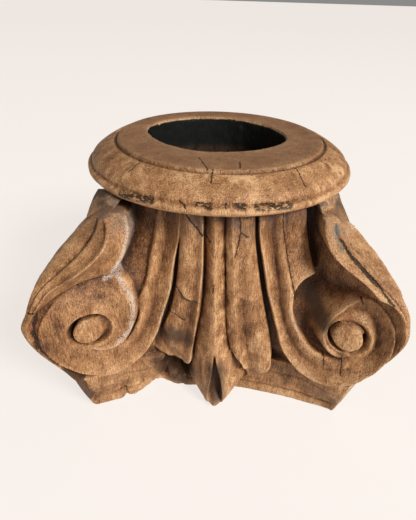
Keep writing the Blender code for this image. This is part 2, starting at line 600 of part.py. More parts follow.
def bored_socket(middle, collection):
    """The cutter of the socket, which stands a little above the collar."""
    above = 5.0
    outline = bpy.data.curves.new("socket_cutter", "CURVE")
    outline.dimensions = "2D"
    outline.fill_mode = "BOTH"
    outline.extrude = 0.5 * (SOCKET_DEPTH + above) * MM
    spline = outline.splines.new("POLY")
    spline.points.add(SOCKET_SIDES - 1)
    for point, (across, back) in zip(spline.points, socket_outline()):
        point.co = (across * MM, back * MM, 0.0, 1.0)
    spline.use_cyclic_u = True
    drawn = place("socket_drawn", outline, collection)
    drawn.location = ((SOCKET_CENTRE[0] - middle[0]) * MM, (SOCKET_CENTRE[1] - middle[1]) * MM,
                      (TOTAL_HEIGHT + 0.5 * (above - SOCKET_DEPTH)) * MM)
    bpy.context.view_layer.update()
    solid = drawn.evaluated_get(bpy.context.evaluated_depsgraph_get())
    mesh = bpy.data.meshes.new_from_object(solid)
    shell = bmesh.new()
    shell.from_mesh(mesh)
    bmesh.ops.remove_doubles(shell, verts=shell.verts, dist=0.00001)
    shell.to_mesh(mesh)
    shell.free()
    socket = place("socket_cutter", mesh, collection)
    socket.matrix_world = drawn.matrix_world
    bpy.data.objects.remove(drawn)
    return as_cutter(socket, collection)


def level_floor(collection):
    """The cutter that planes the underside of the foot flat."""
    width, depth = 500.0 * MM, 20.0 * MM
    bpy.ops.mesh.primitive_cube_add(size=1.0, location=(0.0, 0.0, -0.5 * depth))
    floor = bpy.context.active_object
    floor.name = "floor_cutter"
    floor.scale = (width, width, depth)
    return as_cutter(floor, collection)


def carved_wood():
    material = bpy.data.materials.new("carved_wood")
    material.use_nodes = True
    shader = material.node_tree.nodes["Principled BSDF"]
    shader.inputs["Base Color"].default_value = (0.26, 0.14, 0.065, 1.0)
    shader.inputs["Roughness"].default_value = 0.62
    shader.inputs["Metallic"].default_value = 0.0
    return material


def combine(item, name, operation, other):
    boolean = item.modifiers.new(name, "BOOLEAN")
    boolean.operation = operation
    boolean.solver = "EXACT"
    boolean.object = other


for leftover in list(bpy.data.objects):
    bpy.data.objects.remove(leftover)

parts = collect("column_base")
cutters = collect("column_base_cutters")

sections = loft_points()
plan = sections[:, :, :2].reshape(-1, 2)
footprint_middle = 0.5 * (plan.max(axis=0) + plan.min(axis=0))
sections[:, :, :2] -= footprint_middle

block = place("carved_column_base", lofted_mesh("carved_column_base", sections), parts)
block.data.materials.append(carved_wood())
thin_out = block.modifiers.new("fewer_faces", "DECIMATE")
thin_out.ratio = KEPT_SHARE
combine(block, "plane_the_foot", "DIFFERENCE", level_floor(cutters))
combine(block, "add_the_collar", "UNION", turned_collar(footprint_middle, cutters))
combine(block, "bore_the_socket", "DIFFERENCE", bored_socket(footprint_middle, cutters))
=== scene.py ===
"""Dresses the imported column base: an ionic capital, carved from one block and stood upside down."""
import math

import bpy
import numpy as np
from mathutils import Matrix, Vector


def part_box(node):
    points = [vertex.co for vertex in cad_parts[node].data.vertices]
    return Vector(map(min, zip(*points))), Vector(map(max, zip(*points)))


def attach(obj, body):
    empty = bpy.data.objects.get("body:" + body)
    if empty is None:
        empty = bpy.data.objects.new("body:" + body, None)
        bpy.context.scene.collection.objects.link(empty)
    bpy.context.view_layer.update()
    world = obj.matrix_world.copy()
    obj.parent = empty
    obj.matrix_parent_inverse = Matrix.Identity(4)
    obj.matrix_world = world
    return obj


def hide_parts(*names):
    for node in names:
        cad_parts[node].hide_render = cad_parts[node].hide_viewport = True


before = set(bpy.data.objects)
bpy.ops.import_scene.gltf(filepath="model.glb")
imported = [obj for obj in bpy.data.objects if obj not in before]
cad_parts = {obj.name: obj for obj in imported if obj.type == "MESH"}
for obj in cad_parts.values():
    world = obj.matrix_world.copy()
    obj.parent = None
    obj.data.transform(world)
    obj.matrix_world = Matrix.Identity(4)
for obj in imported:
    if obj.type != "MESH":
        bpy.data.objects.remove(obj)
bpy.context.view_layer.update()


# ---- the corner leaves
# A long leaf covers each corner from under the collar down to the volutes, cut in the block itself
# with three ribs and two gouged grooves. Below it the corner of the foot is pared off. Sizes are
# in the carver's millimetres, from the axis of the carving and from the ground up.

CORNERS = ("front_right", "back", "back", "front_left")
LEAF_REACH = {
    "front_left": [
        (0, 129.5), (6, 131.5), (14, 133.5), (27, 136), (36, 137.5), (43, 139), (56, 142.2),
        (64, 145), (72, 147.6), (84, 152.2), (100, 158.2), (110, 161.5), (118, 163.5),
        (128, 165.2), (136, 165.6), (141, 164), (146, 161.7), (154, 159), (169, 151.8),
        (178, 144), (186, 135.5), (193, 127.6), (201, 119.5), (209, 112.5), (215, 110), (221, 108)],
    "front_right": [
        (0, 128.7), (6, 130), (14, 131.8), (27, 134.1), (36, 135.7), (43, 137), (56, 138.7),
        (64, 140), (72, 142), (84, 147.3), (100, 154), (118, 159), (128, 160.7), (136, 160.8),
        (145, 159.4), (157, 155.8), (169, 146.4), (178, 136), (186, 126.6), (193, 118),
        (201, 109.5), (208, 105), (215, 103), (221, 101)],
    "back": [
        (0, 129), (14, 132.5), (27, 135), (43, 137.5), (56, 140.2), (64, 142.4), (72, 144.8),
        (84, 150), (100, 156.3), (118, 161), (130, 162), (145, 159.2), (157, 155), (169, 147.3),
        (178, 138.8), (186, 130.5), (193, 123), (201, 116), (208, 110.5), (215, 107), (221, 105)],
}
# How far out the plain block behind each leaf reaches, up to the collar.
BLOCK_REACH = {
    "front_left": [
        (205, 112), (209, 110), (215, 106.5), (220, 102.5), (225, 98.5), (229, 94.5), (233, 89)],
    "front_right": [(201, 106), (208, 101), (215, 96), (221, 92), (229, 88), (233, 84)],
    "back": [(201, 108), (208, 104), (215, 98), (221, 93), (229, 87.5), (233, 84)],
}
# Half a leaf's width on the side nearer the front, and on the far side.
LOWER_HALF = [(0, 1), (6, 3.5), (12, 6), (20, 8.5), (36, 12), (50, 12.5), (62, 10), (75, 7),
                   (95, 4.5)]
EVEN_HALF = LOWER_HALF + [
    (125, 3.5), (145, 4), (160, 5.5), (170, 8), (180, 12), (190, 15.5), (200, 16), (207, 14.5),
    (213, 12.5), (220, 11), (229, 10)]
LEAF_NEAR = {
    "front_left": LOWER_HALF + [
        (125, 4), (145, 5), (157, 8), (170, 13), (180, 23), (190, 29), (196, 29.8), (202, 27.5),
        (208, 20.5), (214, 16), (218, 14), (222, 12), (229, 11)],
    "front_right": LOWER_HALF + [
        (125, 3.5), (145, 4), (160, 5.5), (170, 8), (180, 11.8), (190, 13.4), (200, 12.8),
        (206, 12.4), (212, 11.5), (219, 9), (229, 8)],
    "back": EVEN_HALF,
}
LEAF_FAR = {
    "front_left": LOWER_HALF + [
        (125, 3.5), (145, 3.5), (160, 4), (170, 6), (180, 9), (190, 12), (200, 13), (208, 13),
        (214, 15), (220, 19), (229, 23)],
    "front_right": LOWER_HALF + [
        (125, 3.5), (145, 4), (160, 6), (170, 8.5), (180, 12), (190, 15), (198, 15), (203, 17),
        (208, 20), (214, 22), (221, 23.5), (229, 24)],
    "back": EVEN_HALF,
}
# Ribs and grooves across a leaf: share of the half width, depth below its surface, bend.
LEAF_RIBS = {
    "front_left": [
        (-1, 1, 1), (-0.5, -0.6, 1), (0.02, 1.4, 1.6), (0.2, 6.4, 0.6), (0.4, 0.2, 1.2),
        (0.72, 6.6, 1.3), (1, 0, 1)],
    "front_right": [
        (-1, 1, 1), (-0.7, 0, 1), (-0.25, 1.2, 1), (-0.1, 3.6, 0.8), (0.08, 1, 1.8),
        (0.55, 9, 0.5), (0.72, 1.2, 1), (0.86, 0, 1), (1, 1.2, 1)],
    "back": [
        (-1, 0, 1.8), (-0.55, 5.5, 0.7), (-0.12, 0.2, 1), (0.12, 0.2, 1.8),
        (0.55, 5.5, 0.7), (1, 0, 1)],
}
GROOVES_CUT = [
    (0, 0), (120, 0), (136, 0), (142, 0.04), (152, 0.45), (165, 0.85), (185, 1), (203, 0.95),
    (211, 0.6), (217, 0.05), (221, 0)]
# The height of each leaf's top at its near edge, its middle and its far edge.
LEAF_TOPS = {"front_left": (222.5, 220, 209), "front_right": (219, 218.5, 203),
             "back": (209, 219, 209)}
DIAGONAL = math.sqrt(2)


def rise(low, high, value):
    """A smooth step from 0 at low to 1 at high."""
    share = np.clip((value - low) / (high - low), 0, 1)
    return share * share * (3 - 2 * share)


def mix(first, second, share):
    """From first at 0 to second at 1."""
    return first + (second - first) * share


def through(keys, value):
    """A smooth curve through (place, height) keys, held level beyond its ends."""
    places = np.array([key[0] for key in keys], float)
    heights = np.array([key[1] for key in keys], float)
    slopes = np.gradient(heights, places)
    value = np.clip(value, places[0], places[-1])
    index = np.clip(np.searchsorted(places, value) - 1, 0, len(places) - 2)
    width = places[index + 1] - places[index]
    share = (value - places[index]) / width
    square, cube = share ** 2, share ** 3
    return ((2 * cube - 3 * square + 1) * heights[index]
            + (cube - 2 * square + share) * width * slopes[index]
            + (3 * square - 2 * cube) * heights[index + 1]
            + (cube - square) * width * slopes[index + 1])


def strips(across, lines):
    """A surface through lines that run up the face, each (place, height, bend to the next).

    A bend over 1 keeps the higher side round and the lower one sharp, and one under 1 does
    the reverse.
    """
    surface = np.zeros(np.shape(across)) + lines[0][1]
    for (place, height, bend), (next_place, next_height, _) in zip(lines[:-1], lines[1:]):
        share = np.clip((across - place) / np.maximum(next_place - place, 0.5), 0, 1)
        falling = height + (next_height - height) * share ** bend
        rising = next_height + (height - next_height) * (1 - share) ** bend
        here = np.where(height > next_height, falling, rising)
        surface = np.where(across >= place, here, surface)
    return surface


def ribs_across(z, share, corner):
    """How deep the leaf lies below its reach, for a share of its half width."""
    places = LEAF_RIBS[corner]
    depth = strips(share, [(place, -sunk, bend) for place, sunk, bend in places])
    scooped = 1.8 * rise(4, 20, z) * rise(66, 45, z) * (1 - share ** 2)
    rounded = 1.2 * share ** 2 * rise(95, 150, z)
    return scooped + rounded - depth * through(GROOVES_CUT, z)


def leaf_outward(z, share, corner):
    """How far out along the diagonal the leaf lies, or the plain block above its top."""
    near, middle, far = LEAF_TOPS[corner]
    top = np.where(share > 0, mix(middle, near, share), mix(middle, far, -share))
    leaf = DIAGONAL * through(LEAF_REACH[corner], z) - ribs_across(z, share, corner)
    leaf = leaf - 5 * rise(top - 7, top, z) ** 2
    plain = DIAGONAL * through(BLOCK_REACH[corner], z)
    return mix(leaf, plain, rise(top - 0.8, top + 0.8, z))


def leaf_edge(z, corner, side):
    """Where a face ends: its half width and depth along the edge of the corner leaf."""
    half = through((LEAF_NEAR if side == "near" else LEAF_FAR)[corner], z)
    outward = leaf_outward(z, np.ones_like(z) * (1 if side == "near" else -1), corner)
    return (outward - half) / DIAGONAL, (outward + half) / DIAGONAL


def leaf_surface(z, share, corner):
    """Places across the leaf from its near edge, at 1, to its far edge, at -1."""
    near, far = through(LEAF_NEAR[corner], z), through(LEAF_FAR[corner], z)
    across = np.where(share > 0, share * near, share * far)
    outward = leaf_outward(z, share, corner)
    return (outward - across) / DIAGONAL, (outward + across) / DIAGONAL


# ---- straps and volutes
# Two straps are carved down each face from under the collar and roll up into the corner volutes.
# A crisp volute is gouged deep between its turns; the worn one, front left, is a flat disc.

VOLUTE_EYE = (118, 116)
EYE_RADIUS = 13.2
EYE_STANDS_OUT = 4
FACE_MIDDLE_DEPTH = 103
BELL_RADIUS = 119
# A volute starts at the first of these angles, and lies in two turns up to the second.
FIRST_ANGLE = 121
TWO_TURNS_UP_TO = 281
# Distance from the eye against degrees turned, from the collar, under the eye and winding in.
FILLET = {
    "crisp": [
        (126, 150), (142, 103), (161, 77), (189, 63), (218, 65), (239, 65.5), (256, 61),
        (276, 52), (301, 41.5), (320, 37.5), (341, 36), (374, 37.5), (393, 40.5), (412, 44),
        (427, 45), (441, 41.5), (461, 32.5), (484, 26), (525, 22), (565, 23), (614, 24), (640, 20)],
    "worn": [
        (123, 153), (139, 104.5), (161, 77), (181, 65.5), (202, 63.5), (227, 63.5), (249, 60),
        (276, 49), (301, 42), (330, 40), (358, 40), (377, 41), (399, 42), (436, 47), (462, 50),
        (484, 56), (513, 47), (532, 42), (551, 38), (575, 35), (596, 29), (622, 22)],
}
# The inner side of the band between its fillet and the next turn, in the same terms.
BAND_INSIDE = {
    "crisp": [
        (118, 140), (125, 108), (131, 90), (136, 77), (147, 60), (169, 48), (201, 39), (229, 35),
        (245, 31), (262, 26), (281, 19), (481, 18)],
    "worn": [
        (118, 128), (130, 84), (140, 66), (153, 48), (172, 43), (191, 39), (215, 36), (236, 30),
        (262, 24), (275, 19), (481, 19)],
}
# How deep the band is hollowed, against degrees turned.
BAND_HOLLOW = {
    "crisp": [
        (121, 5), (190, 5.5), (235, 4.5), (262, 3.5), (300, 5), (340, 8.5), (400, 9), (440, 5.5),
        (480, 2.5), (640, 1)],
    "worn": [(121, 5.5), (190, 5), (235, 3), (262, 2), (300, 1.5), (640, 1.5)],
}
# How far the fillet stands out along the band, and how far the worn disc is raised.
FILLET_HEIGHT = {
    "crisp": [(121, 2.6), (230, 2.2), (300, 2.4), (440, 3.4), (560, 3), (640, 1)],
    "worn": [(121, 3), (230, 2.4), (300, 0.6), (440, 0.6), (484, 1.6), (600, 1.2), (640, 0.2)],
}
DISC_HEIGHT = {
    "crisp": [(121, 0), (640, 0)],
    "worn": [(121, 0), (300, 0.5), (400, 3.5), (480, 5), (560, 5), (600, 3.2), (640, 0.5)],
}
# The outer limit of the hollow behind the second turn of a crisp volute.
HOLLOW_RADIUS = [(15, 41), (40, 48), (62, 52), (91, 51), (109, 53), (124, 57), (137, 58),
                 (154, 53), (172, 46), (200, 38), (240, 30)]
HOLLOW_DEPTH = [(15, 6), (45, 9), (75, 15), (105, 22), (160, 21), (200, 17), (240, 12)]


def volute_plane(x, z):
    """The concave sweep that the volutes lie on, leaning back a little as it rises."""
    sweep = 0.47 * (np.sqrt(x ** 2 + 45 ** 2) - 45)
    lean = 0.15 * (z - 117) * rise(40, 110, np.abs(x))
    return FACE_MIDDLE_DEPTH + sweep - lean


def ground_curve(x, z):
    """Round under the collar, turning into the sweep of the volutes further down."""
    bell = np.sqrt(np.maximum(BELL_RADIUS ** 2 - x ** 2, 60 ** 2))
    return mix(volute_plane(x, z), bell, rise(138, 228, z))


def around_eye(x, z):
    """Places from the volute's eye: across, up, radius and angle in degrees."""
    across, up = x - VOLUTE_EYE[0], z - VOLUTE_EYE[1]
    return across, up, np.hypot(across, up), np.degrees(np.arctan2(up, across))


def band_surface(base, radius, turned, kind):
    """The band of a volute at one turn: its outer and inner limits, and its hollowed surface."""
    outer = through(FILLET[kind], turned)
    inner = np.minimum(through(BAND_INSIDE[kind], turned), outer - 4)
    inner = np.where(turned < TWO_TURNS_UP_TO, inner, EYE_RADIUS + 3)
    hollow = through(BAND_HOLLOW[kind], turned)
    width = np.maximum(outer - inner, 4)
    fillet_height = through(FILLET_HEIGHT[kind], turned)
    roll_height = mix(1.5, 0.3, rise(200, 250, turned)) - 0.25 * hollow
    surface = base + through(DISC_HEIGHT[kind], turned) + strips(outer - radius, [
        (0, fillet_height - 3, 2), (2.4, fillet_height, 0.8),
        (0.5 * width, -hollow, 1.5), (0.84 * width, roll_height, 2.2),
        (width, roll_height - 2.2, 1), (width + 8, roll_height - 2.4, 1)])
    return outer, inner, surface


def add_volute(depth, x, z, kind):
    """Carve the strap and volute of one half face, where x runs from the middle outwards."""
    across, up, radius, angle = around_eye(x, z)
    angle = angle % 360
    turned = np.where(angle < FIRST_ANGLE, angle + 360, angle)
    winds_again = turned < TWO_TURNS_UP_TO
    base = ground_curve(x, z)
    outer, inner, band = band_surface(base, radius, turned, kind)
    second, _, again = band_surface(base, radius, turned + 360, kind)
    if kind == "crisp":
        trough_start = np.where(winds_again, second, outer)
        hollow_edge = through(HOLLOW_RADIUS, angle)
        span = np.maximum(hollow_edge - trough_start, 3)
        away = np.clip((radius - trough_start) / span, 0, 1)
        sunk = through(HOLLOW_DEPTH, angle)
        trough = base + 2 - sunk * np.sin(math.pi * away ** 0.8 * 0.72) ** 0.9
        in_trough = rise(-2.2, 1, hollow_edge - radius) * rise(8, 30, angle)
        in_trough = in_trough * (angle < TWO_TURNS_UP_TO)
        depth = mix(depth, np.maximum(trough, x + 2), in_trough)
    in_band = rise(-1, 1, outer - radius) * rise(-1, 1, radius - inner)
    depth = mix(depth, band, in_band)
    depth = mix(depth, again, rise(-1, 1, second - radius) * winds_again)

    towards_husk = np.clip(np.cos(np.radians(angle - 165)), 0, 1)
    away_from_husk = np.clip(np.cos(np.radians(angle)), 0, 1)
    moat_width = 2.6 + (5.5 * towards_husk if kind == "worn" else 3.2 * away_from_husk)
    moat_depth = 6 - (2 * towards_husk if kind == "worn" else 0)
    moat = moat_depth * rise(moat_width, 0.25 * moat_width, radius - EYE_RADIUS - 1)
    depth = depth - moat
    button = base + EYE_STANDS_OUT - 2.5 * (radius / EYE_RADIUS) ** 4
    if kind == "crisp":
        button = button + 0.09 * (-across * 0.6 - up * 0.8) - 1
    return mix(depth, button, rise(-1, 1, EYE_RADIUS - radius))


TAIL_EDGE = {
    "crisp": [
        (148, 145), (157, 139), (169, 129.5), (178, 119), (187, 104), (194, 94), (204, 88),
        (212, 86), (219, 86), (229, 84)],
    "worn": [
        (143, 150), (147, 141), (154, 121), (161, 106), (169, 93), (179, 86.5), (192, 82),
        (205, 79), (214, 80), (220, 82), (225, 90)],
}
TAIL_DEPTH = {
    "crisp": [
        (148, 160), (157, 158), (169, 152), (178, 146), (187, 138), (194, 130), (204, 120.5),
        (212, 114), (220, 109), (229, 104)],
    "worn": [(143, 128), (154, 126), (166, 124), (178, 120), (198, 117), (224, 113)],
}
# On the front the flank ends in a top of its own; elsewhere it runs up to the collar.
TAIL_TOP = {"crisp": 219, "worn": 222}


def add_tail(depth, x, z, kind, edge, is_front):
    """The flank of the corner leaf, which stands in front of a slot beside the strap."""
    edge_x, edge_depth = edge
    inner = through(TAIL_EDGE[kind], z)
    inner_depth = through(TAIL_DEPTH[kind], z)
    share = np.clip((x - inner) / np.maximum(edge_x - inner, 3), 0, 1)
    if kind == "crisp":
        front = mix(inner_depth, edge_depth, share) + 1.8 * np.sin(math.pi * share)
    else:
        front = mix(inner_depth, edge_depth, share ** 1.6) + 1.2 * np.sin(math.pi * share)
    soft = 2.5 if kind == "crisp" else 2
    shown = rise(-soft, 0.8, x - inner) * rise(140, 147, z)
    if is_front:
        shown = shown * rise(TAIL_TOP[kind] + 1.5, TAIL_TOP[kind] - 1.5, z)
    return mix(depth, front, shown)


def ridge(distance, width):
    """A rounded ridge of height 1 across a line."""
    return np.exp(-(distance / width) ** 2)


def part_from_leaf(depth, x, z, kind):
    """The dark cut between a volute's outer side and the edge of the corner leaf."""
    _, _, radius, angle = around_eye(x, z)
    outer = through(FILLET[kind], angle + 360)
    gap = 2.6 if kind == "crisp" else 1.2
    cut = 6 if kind == "crisp" else 3
    reach = rise(-75, -50, angle) * rise(72, 50, angle)
    return depth - cut * ridge(radius - outer - gap, 0.8 * gap + 0.6) * reach


# ---- tongues and the hanging husk
# Between the straps two tongues are carved, rimmed towards the middle, and a ridged husk that
# splits into two lobes over its hanging tip. The left tongue's end is broken off at a slant.

# How far the husk's crest stands out before the straps.
STAND = [(0, 28), (8, 30), (20, 28), (45, 21), (80, 16), (140, 14), (190, 6), (228, 1.5)]
HUSK_LEFT = [(66, -24), (90, -20.5), (110, -17.5), (143, -15.5), (174, -15), (201, -15.5),
             (228, -15.5)]
HUSK_CREST = [(66, -1), (90, -2.2), (110, -3.2), (143, -4.5), (174, -5.2), (201, -5.8),
              (228, -6.5)]
HUSK_RIGHT = [(66, 14), (90, 9.8), (110, 8), (143, 6.3), (174, 4.7), (201, 3.2), (228, 2.2)]
RIM = {
    "round": [
        (40, 31), (50, 27.5), (66, 24.5), (90, 21.5), (110, 18.5), (143, 14.5), (174, 12),
        (201, 9.3), (228, 8)],
    "broken": [
        (50, 28), (66, 25.5), (90, 23), (110, 21.3), (143, 18), (174, 16.4), (201, 16.7),
        (228, 17.2)],
}
OUTER_EDGE = {
    "round": [
        (50, 58.2), (66, 57.5), (90, 53.3), (110, 48.5), (143, 40.5), (174, 34), (201, 29.2),
        (228, 27)],
    "broken": [
        (52, 63), (72, 63.5), (90, 58), (110, 49.5), (143, 41.8), (174, 38.3), (201, 37),
        (228, 35)],
}
ROUND_STARTS = 49.5
BROKEN_END_LOWEST = (33.5, 42.4)


def strip_surface(x, z):
    """The surface that the crests of husk and tongues lie on."""
    return ground_curve(x, z) + through(STAND, z) * np.exp(-(x / 28) ** 2)


def uneven(across, up, size, seed):
    """Smooth random unevenness from -1 to 1, with humps about that size across."""
    table = np.random.RandomState(seed).uniform(-1, 1, (64, 64))
    column, row = np.floor(across / size), np.floor(up / size)
    along, over = across / size - column, up / size - row
    along, over = along * along * (3 - 2 * along), over * over * (3 - 2 * over)
    column, row = column.astype(int), row.astype(int)

    def pick(right, above):
        return table[(row + above) % 64, (column + right) % 64]

    return mix(mix(pick(0, 0), pick(1, 0), along), mix(pick(0, 1), pick(1, 1), along), over)


def add_tongue(depth, x, z, end, husk_edge):
    """One tongue, where x runs from the middle outwards and husk_edge is where it starts."""
    rim = through(RIM[end], z)
    outer = through(OUTER_EDGE[end], z)
    width = outer - rim
    rim_height = 0.6 if end == "round" else 1.2
    belly = 1.2 + 2.4 * ridge(z - 76, 22)
    valley = mix(2.8, 0.6, rise(95, 150, z)) + (1 if end == "broken" else 0)
    surface = strip_surface(x, z) + strips(x, [
        (husk_edge, -8, 1.7), (rim, rim_height, 0.75), (rim + 0.22 * width, -valley, 1.3),
        (rim + 0.6 * width, belly, 2), (outer - 1, -2.5, 1), (outer + 6, -9, 1)])
    share = (x - rim) / width
    if end == "round":
        surface = surface + 1.5 * rise(-1.2, 1.2, z - 133 - 26 * (share - 0.55) ** 2)
        below = np.minimum(z - ROUND_STARTS, 0)
        middle, half = 43, 15.5
        inside = half - np.hypot(x - middle, below)
        inside = np.where(z > ROUND_STARTS, outer - x, inside)
        surface = surface - 5 * (np.clip(-below, 0, 15) / 15) ** 2
        shown = rise(-1, 1, inside)
    else:
        surface = surface + 2.2 * rise(-1, 1, z - 131 - 0.9 * np.maximum(x - 28, 0))
        surface = surface + 0.8 * rise(-1, 1, z - 108 - 0.95 * np.maximum(x - 30, 0))
        arris = 56 + 2.35 * (x - 33)
        surface = surface - 0.32 * np.clip(arris - z - 4, 0, 26)
        low_x, low_z = BROKEN_END_LOWEST
        broken_line = low_z + 0.78 * (x - low_x) + 2 * uneven(x, z, 6, 3)
        broken_line = np.where(x < low_x, low_z + 1.2 * (low_x - x), broken_line)
        shown = rise(-1, 1, outer - x) * rise(-1, 1, z - broken_line)
    shown = shown * rise(-0.5, 0.5, x - husk_edge)
    return mix(depth, surface, shown)


LOBES_LEFT = [(0, -2), (2, -7), (6, -12.5), (11, -18), (16, -23.5), (21, -27.5), (25, -28.5),
              (31, -27), (38, -25.8), (52, -24.5), (66, -24)]
LOBES_RIGHT = [(0, 4), (2, 9.5), (6, 16), (11, 23), (16, 29.5), (20, 34), (24, 35.5), (29, 33.5),
               (36, 30.5), (44, 28), (50, 26.5), (58, 21), (66, 16)]
SLIT_LEFT = [(6, -6.6), (20, -6.4), (42, -3.6), (66, -2.2)]
SLIT_RIGHT = [(6, 7.4), (20, 7.2), (38, 4.5), (54, 0.5), (66, -1.4)]
SLIT_DEPTH = [(0, 0), (6, 2), (14, 9), (40, 9), (68, 4)]
LOBES_TOP = 66


def add_husk(depth, x, z):
    """The ridged husk in the middle of a face, its two lobes, and the slit over its tip."""
    left = np.where(z < LOBES_TOP, through(LOBES_LEFT, z), through(HUSK_LEFT, z))
    right = np.where(z < LOBES_TOP, through(LOBES_RIGHT, z), through(HUSK_RIGHT, z))
    crest = through(HUSK_CREST, z)
    base = strip_surface(x, z) - 0.006 * x ** 2 * rise(60, 35, z)
    flank = strips(x, [(left, -8, 1.25), (crest, 0, 1.25), (right, -8, 1), (right + 5, -8, 1)])
    lobed = strips(x, [
        (left, -9, 2.2), (mix(left, crest, 0.35), -3.5, 1.2), (crest, 0, 1.2),
        (mix(crest, right, 0.45), -2, 1.2), (right, -8.5, 1), (right + 5, -8.5, 1)])
    surface = base + mix(flank, lobed, rise(90, 62, z))
    fold = rise(-0.8, 0.8, x - 15.5 - 0.06 * (z - 30)) * rise(70, 60, z) * rise(24, 34, z)
    surface = surface - 3.2 * fold
    surface = surface - 2 * rise(-0.8, 0.8, -13.5 - 0.12 * (z - 30) - x) * rise(66, 50, z)
    from_left, from_right = x - through(SLIT_LEFT, z), through(SLIT_RIGHT, z) - x
    open_here = rise(-0.8, 0.8, np.minimum(from_left, from_right)) * rise(68, 62, z)
    surface = surface - through(SLIT_DEPTH, z) * open_here
    lips = ridge(from_left + 1.6, 1.8) + ridge(from_right + 1.6, 1.8)
    surface = surface + 1.6 * lips * rise(72, 55, z) * rise(6, 16, z)
    surface = surface + 3 * ridge(np.hypot(x - 0.8, (z - 8) * 0.8), 5)
    surface = surface - 5 * rise(7, 0, z)
    inside = np.minimum(x - left, right - x)
    return mix(depth, surface, rise(-0.9, 0.9, inside))


# ---- the foot
# The old abacus, at the bottom of the block: four hollow sides with a fillet cut along the bottom.
# On the front its left half is split and rotted away below the broken tongue.

ABACUS_MIDDLE_DEPTH = 98
ABACUS_HEIGHT = 56


def foot_depth(x, z, broken):
    """The concave side of the foot, with a shallow groove above its bottom fillet."""
    half_x = np.abs(x)
    side = ABACUS_MIDDLE_DEPTH + 30 * (half_x / 126) ** 1.5
    flare = 13 * rise(4, 42, z) * rise(85, 126, half_x) + 3 * rise(18, 50, z)
    groove = 2.4 * ridge(z - 11.5, 2) - 0.8 * ridge(z - 15.5, 2)
    groove = groove + 1.4 * ridge(z - 36, 2.2)
    side = side + flare - groove
    if broken:
        lost = 16 * ridge(x + 64, 12) + 4 * ridge(x + 98, 3) + 5 * ridge(x + 44, 12)
        lost = lost * (1 + 0.25 * uneven(x, z, 5, 11)) * rise(30, 8, z)
        shelf = 3 * rise(-1, 1, -99 - x) * rise(9, 5, z)
        split = 2.5 * rise(-92, -78, x) * rise(13, 9, z) * rise(-48, -58, x)
        inward = np.hypot((x + 42) / 25, (z - 34) / 24) + 0.16 * uneven(x, z, 7, 12)
        rotten = 24 * rise(1.05, 0.6, inward)
        rough = 1.6 * uneven(x, z * 0.5, 4, 13) + 0.9 * uneven(x, z, 2.2, 14)
        roughness = rise(1.5, 0.9, inward) + ridge(x + 70, 26) * rise(30, 12, z)
        side = side - lost + shelf - split - rotten + rough * np.clip(roughness, 0, 1)
    return side


# ---- the four faces
# Each face is cut down to a plain ground, and its foot, leaf flanks, volutes, tongues and husk are
# left standing on it in that order. Only the front has a worn left half.

# The wood left beyond the diagonal, so that two faces never meet behind a corner leaf.
CORNER_WOOD = 2.5
SLOT_DEPTH = 26
SLOT_STARTS = [(140, 106), (165, 88), (195, 79), (226, 74)]
PANEL_DROP = {"crisp": 2.2, "worn": 5.5}
COLLAR_UNDERSIDE = 228.6
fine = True
ROW_STEP = 0.75 if fine else 1.5
FRONT_COLUMNS = 400 if fine else 150
FACE_COLUMNS = 210 if fine else 80
LEAF_COLUMNS = 33 if fine else 21


def face_depth(x, z, front, left_edge, right_edge):
    """Depth of a carved face in front of the axis, for x across it and z up it."""
    half_x = np.abs(x)
    curve = ground_curve(half_x, z)
    worn_half = (x < 0) & front
    panel_drop = np.where(worn_half, PANEL_DROP["worn"], PANEL_DROP["crisp"])
    behind = 9 + 7 * rise(75, 58, z)
    ground = curve - mix(behind, panel_drop, rise(48, 58, half_x) * rise(112, 135, z))
    slot = np.maximum(curve - SLOT_DEPTH, half_x + CORNER_WOOD)
    slot_start = through(SLOT_STARTS, z) + np.where(worn_half, 10, 0)
    ground = mix(ground, slot, rise(-1.5, 2.5, half_x - slot_start))
    depth = np.maximum(ground, half_x + CORNER_WOOD)
    on_foot = rise(ABACUS_HEIGHT + 1.5, ABACUS_HEIGHT - 1.5, z)
    depth = mix(depth, foot_depth(x, z, front), on_foot)
    for side in (-1, 1):
        worn = front and side < 0
        kind = "worn" if worn else "crisp"
        end = "broken" if worn else "round"
        husk_side = -through(HUSK_LEFT, z) if side < 0 else through(HUSK_RIGHT, z)
        edge = left_edge if side < 0 else right_edge
        carved = add_tail(depth, half_x, z, kind, edge, front)
        carved = add_volute(carved, half_x, z, kind)
        carved = part_from_leaf(carved, half_x, z, kind)
        carved = add_tongue(carved, half_x, z, end, husk_side)
        depth = np.where(x * side >= 0, carved, depth)
    return add_husk(depth, x, z)


def face_section(heights, turn):
    """Points of one face for every section, from its left leaf edge to its right one."""
    front = turn == 0
    columns = FRONT_COLUMNS if front else FACE_COLUMNS
    left_x, left_depth = leaf_edge(heights, CORNERS[turn - 1], "near" if front else "far")
    right_x, right_depth = leaf_edge(heights, CORNERS[turn], "far" if turn == 3 else "near")
    share = np.linspace(0, 1, columns)[None, :]
    x = mix(-left_x[:, None], right_x[:, None], share)
    z = np.repeat(heights[:, None], columns, axis=1)
    depth = face_depth(x, z, front, (left_x[:, None], left_depth[:, None]),
                       (right_x[:, None], right_depth[:, None]))
    depth = depth + 0.35 * uneven(x, z, 9, 5 + turn) + 0.2 * uneven(x, z * 0.35, 3, 6)
    depth = mix(depth, left_depth[:, None], rise(3, 0, left_x[:, None] + x))
    depth = mix(depth, right_depth[:, None], rise(3, 0, right_x[:, None] - x))
    return x, np.maximum(depth, np.abs(x) + 0.5), z


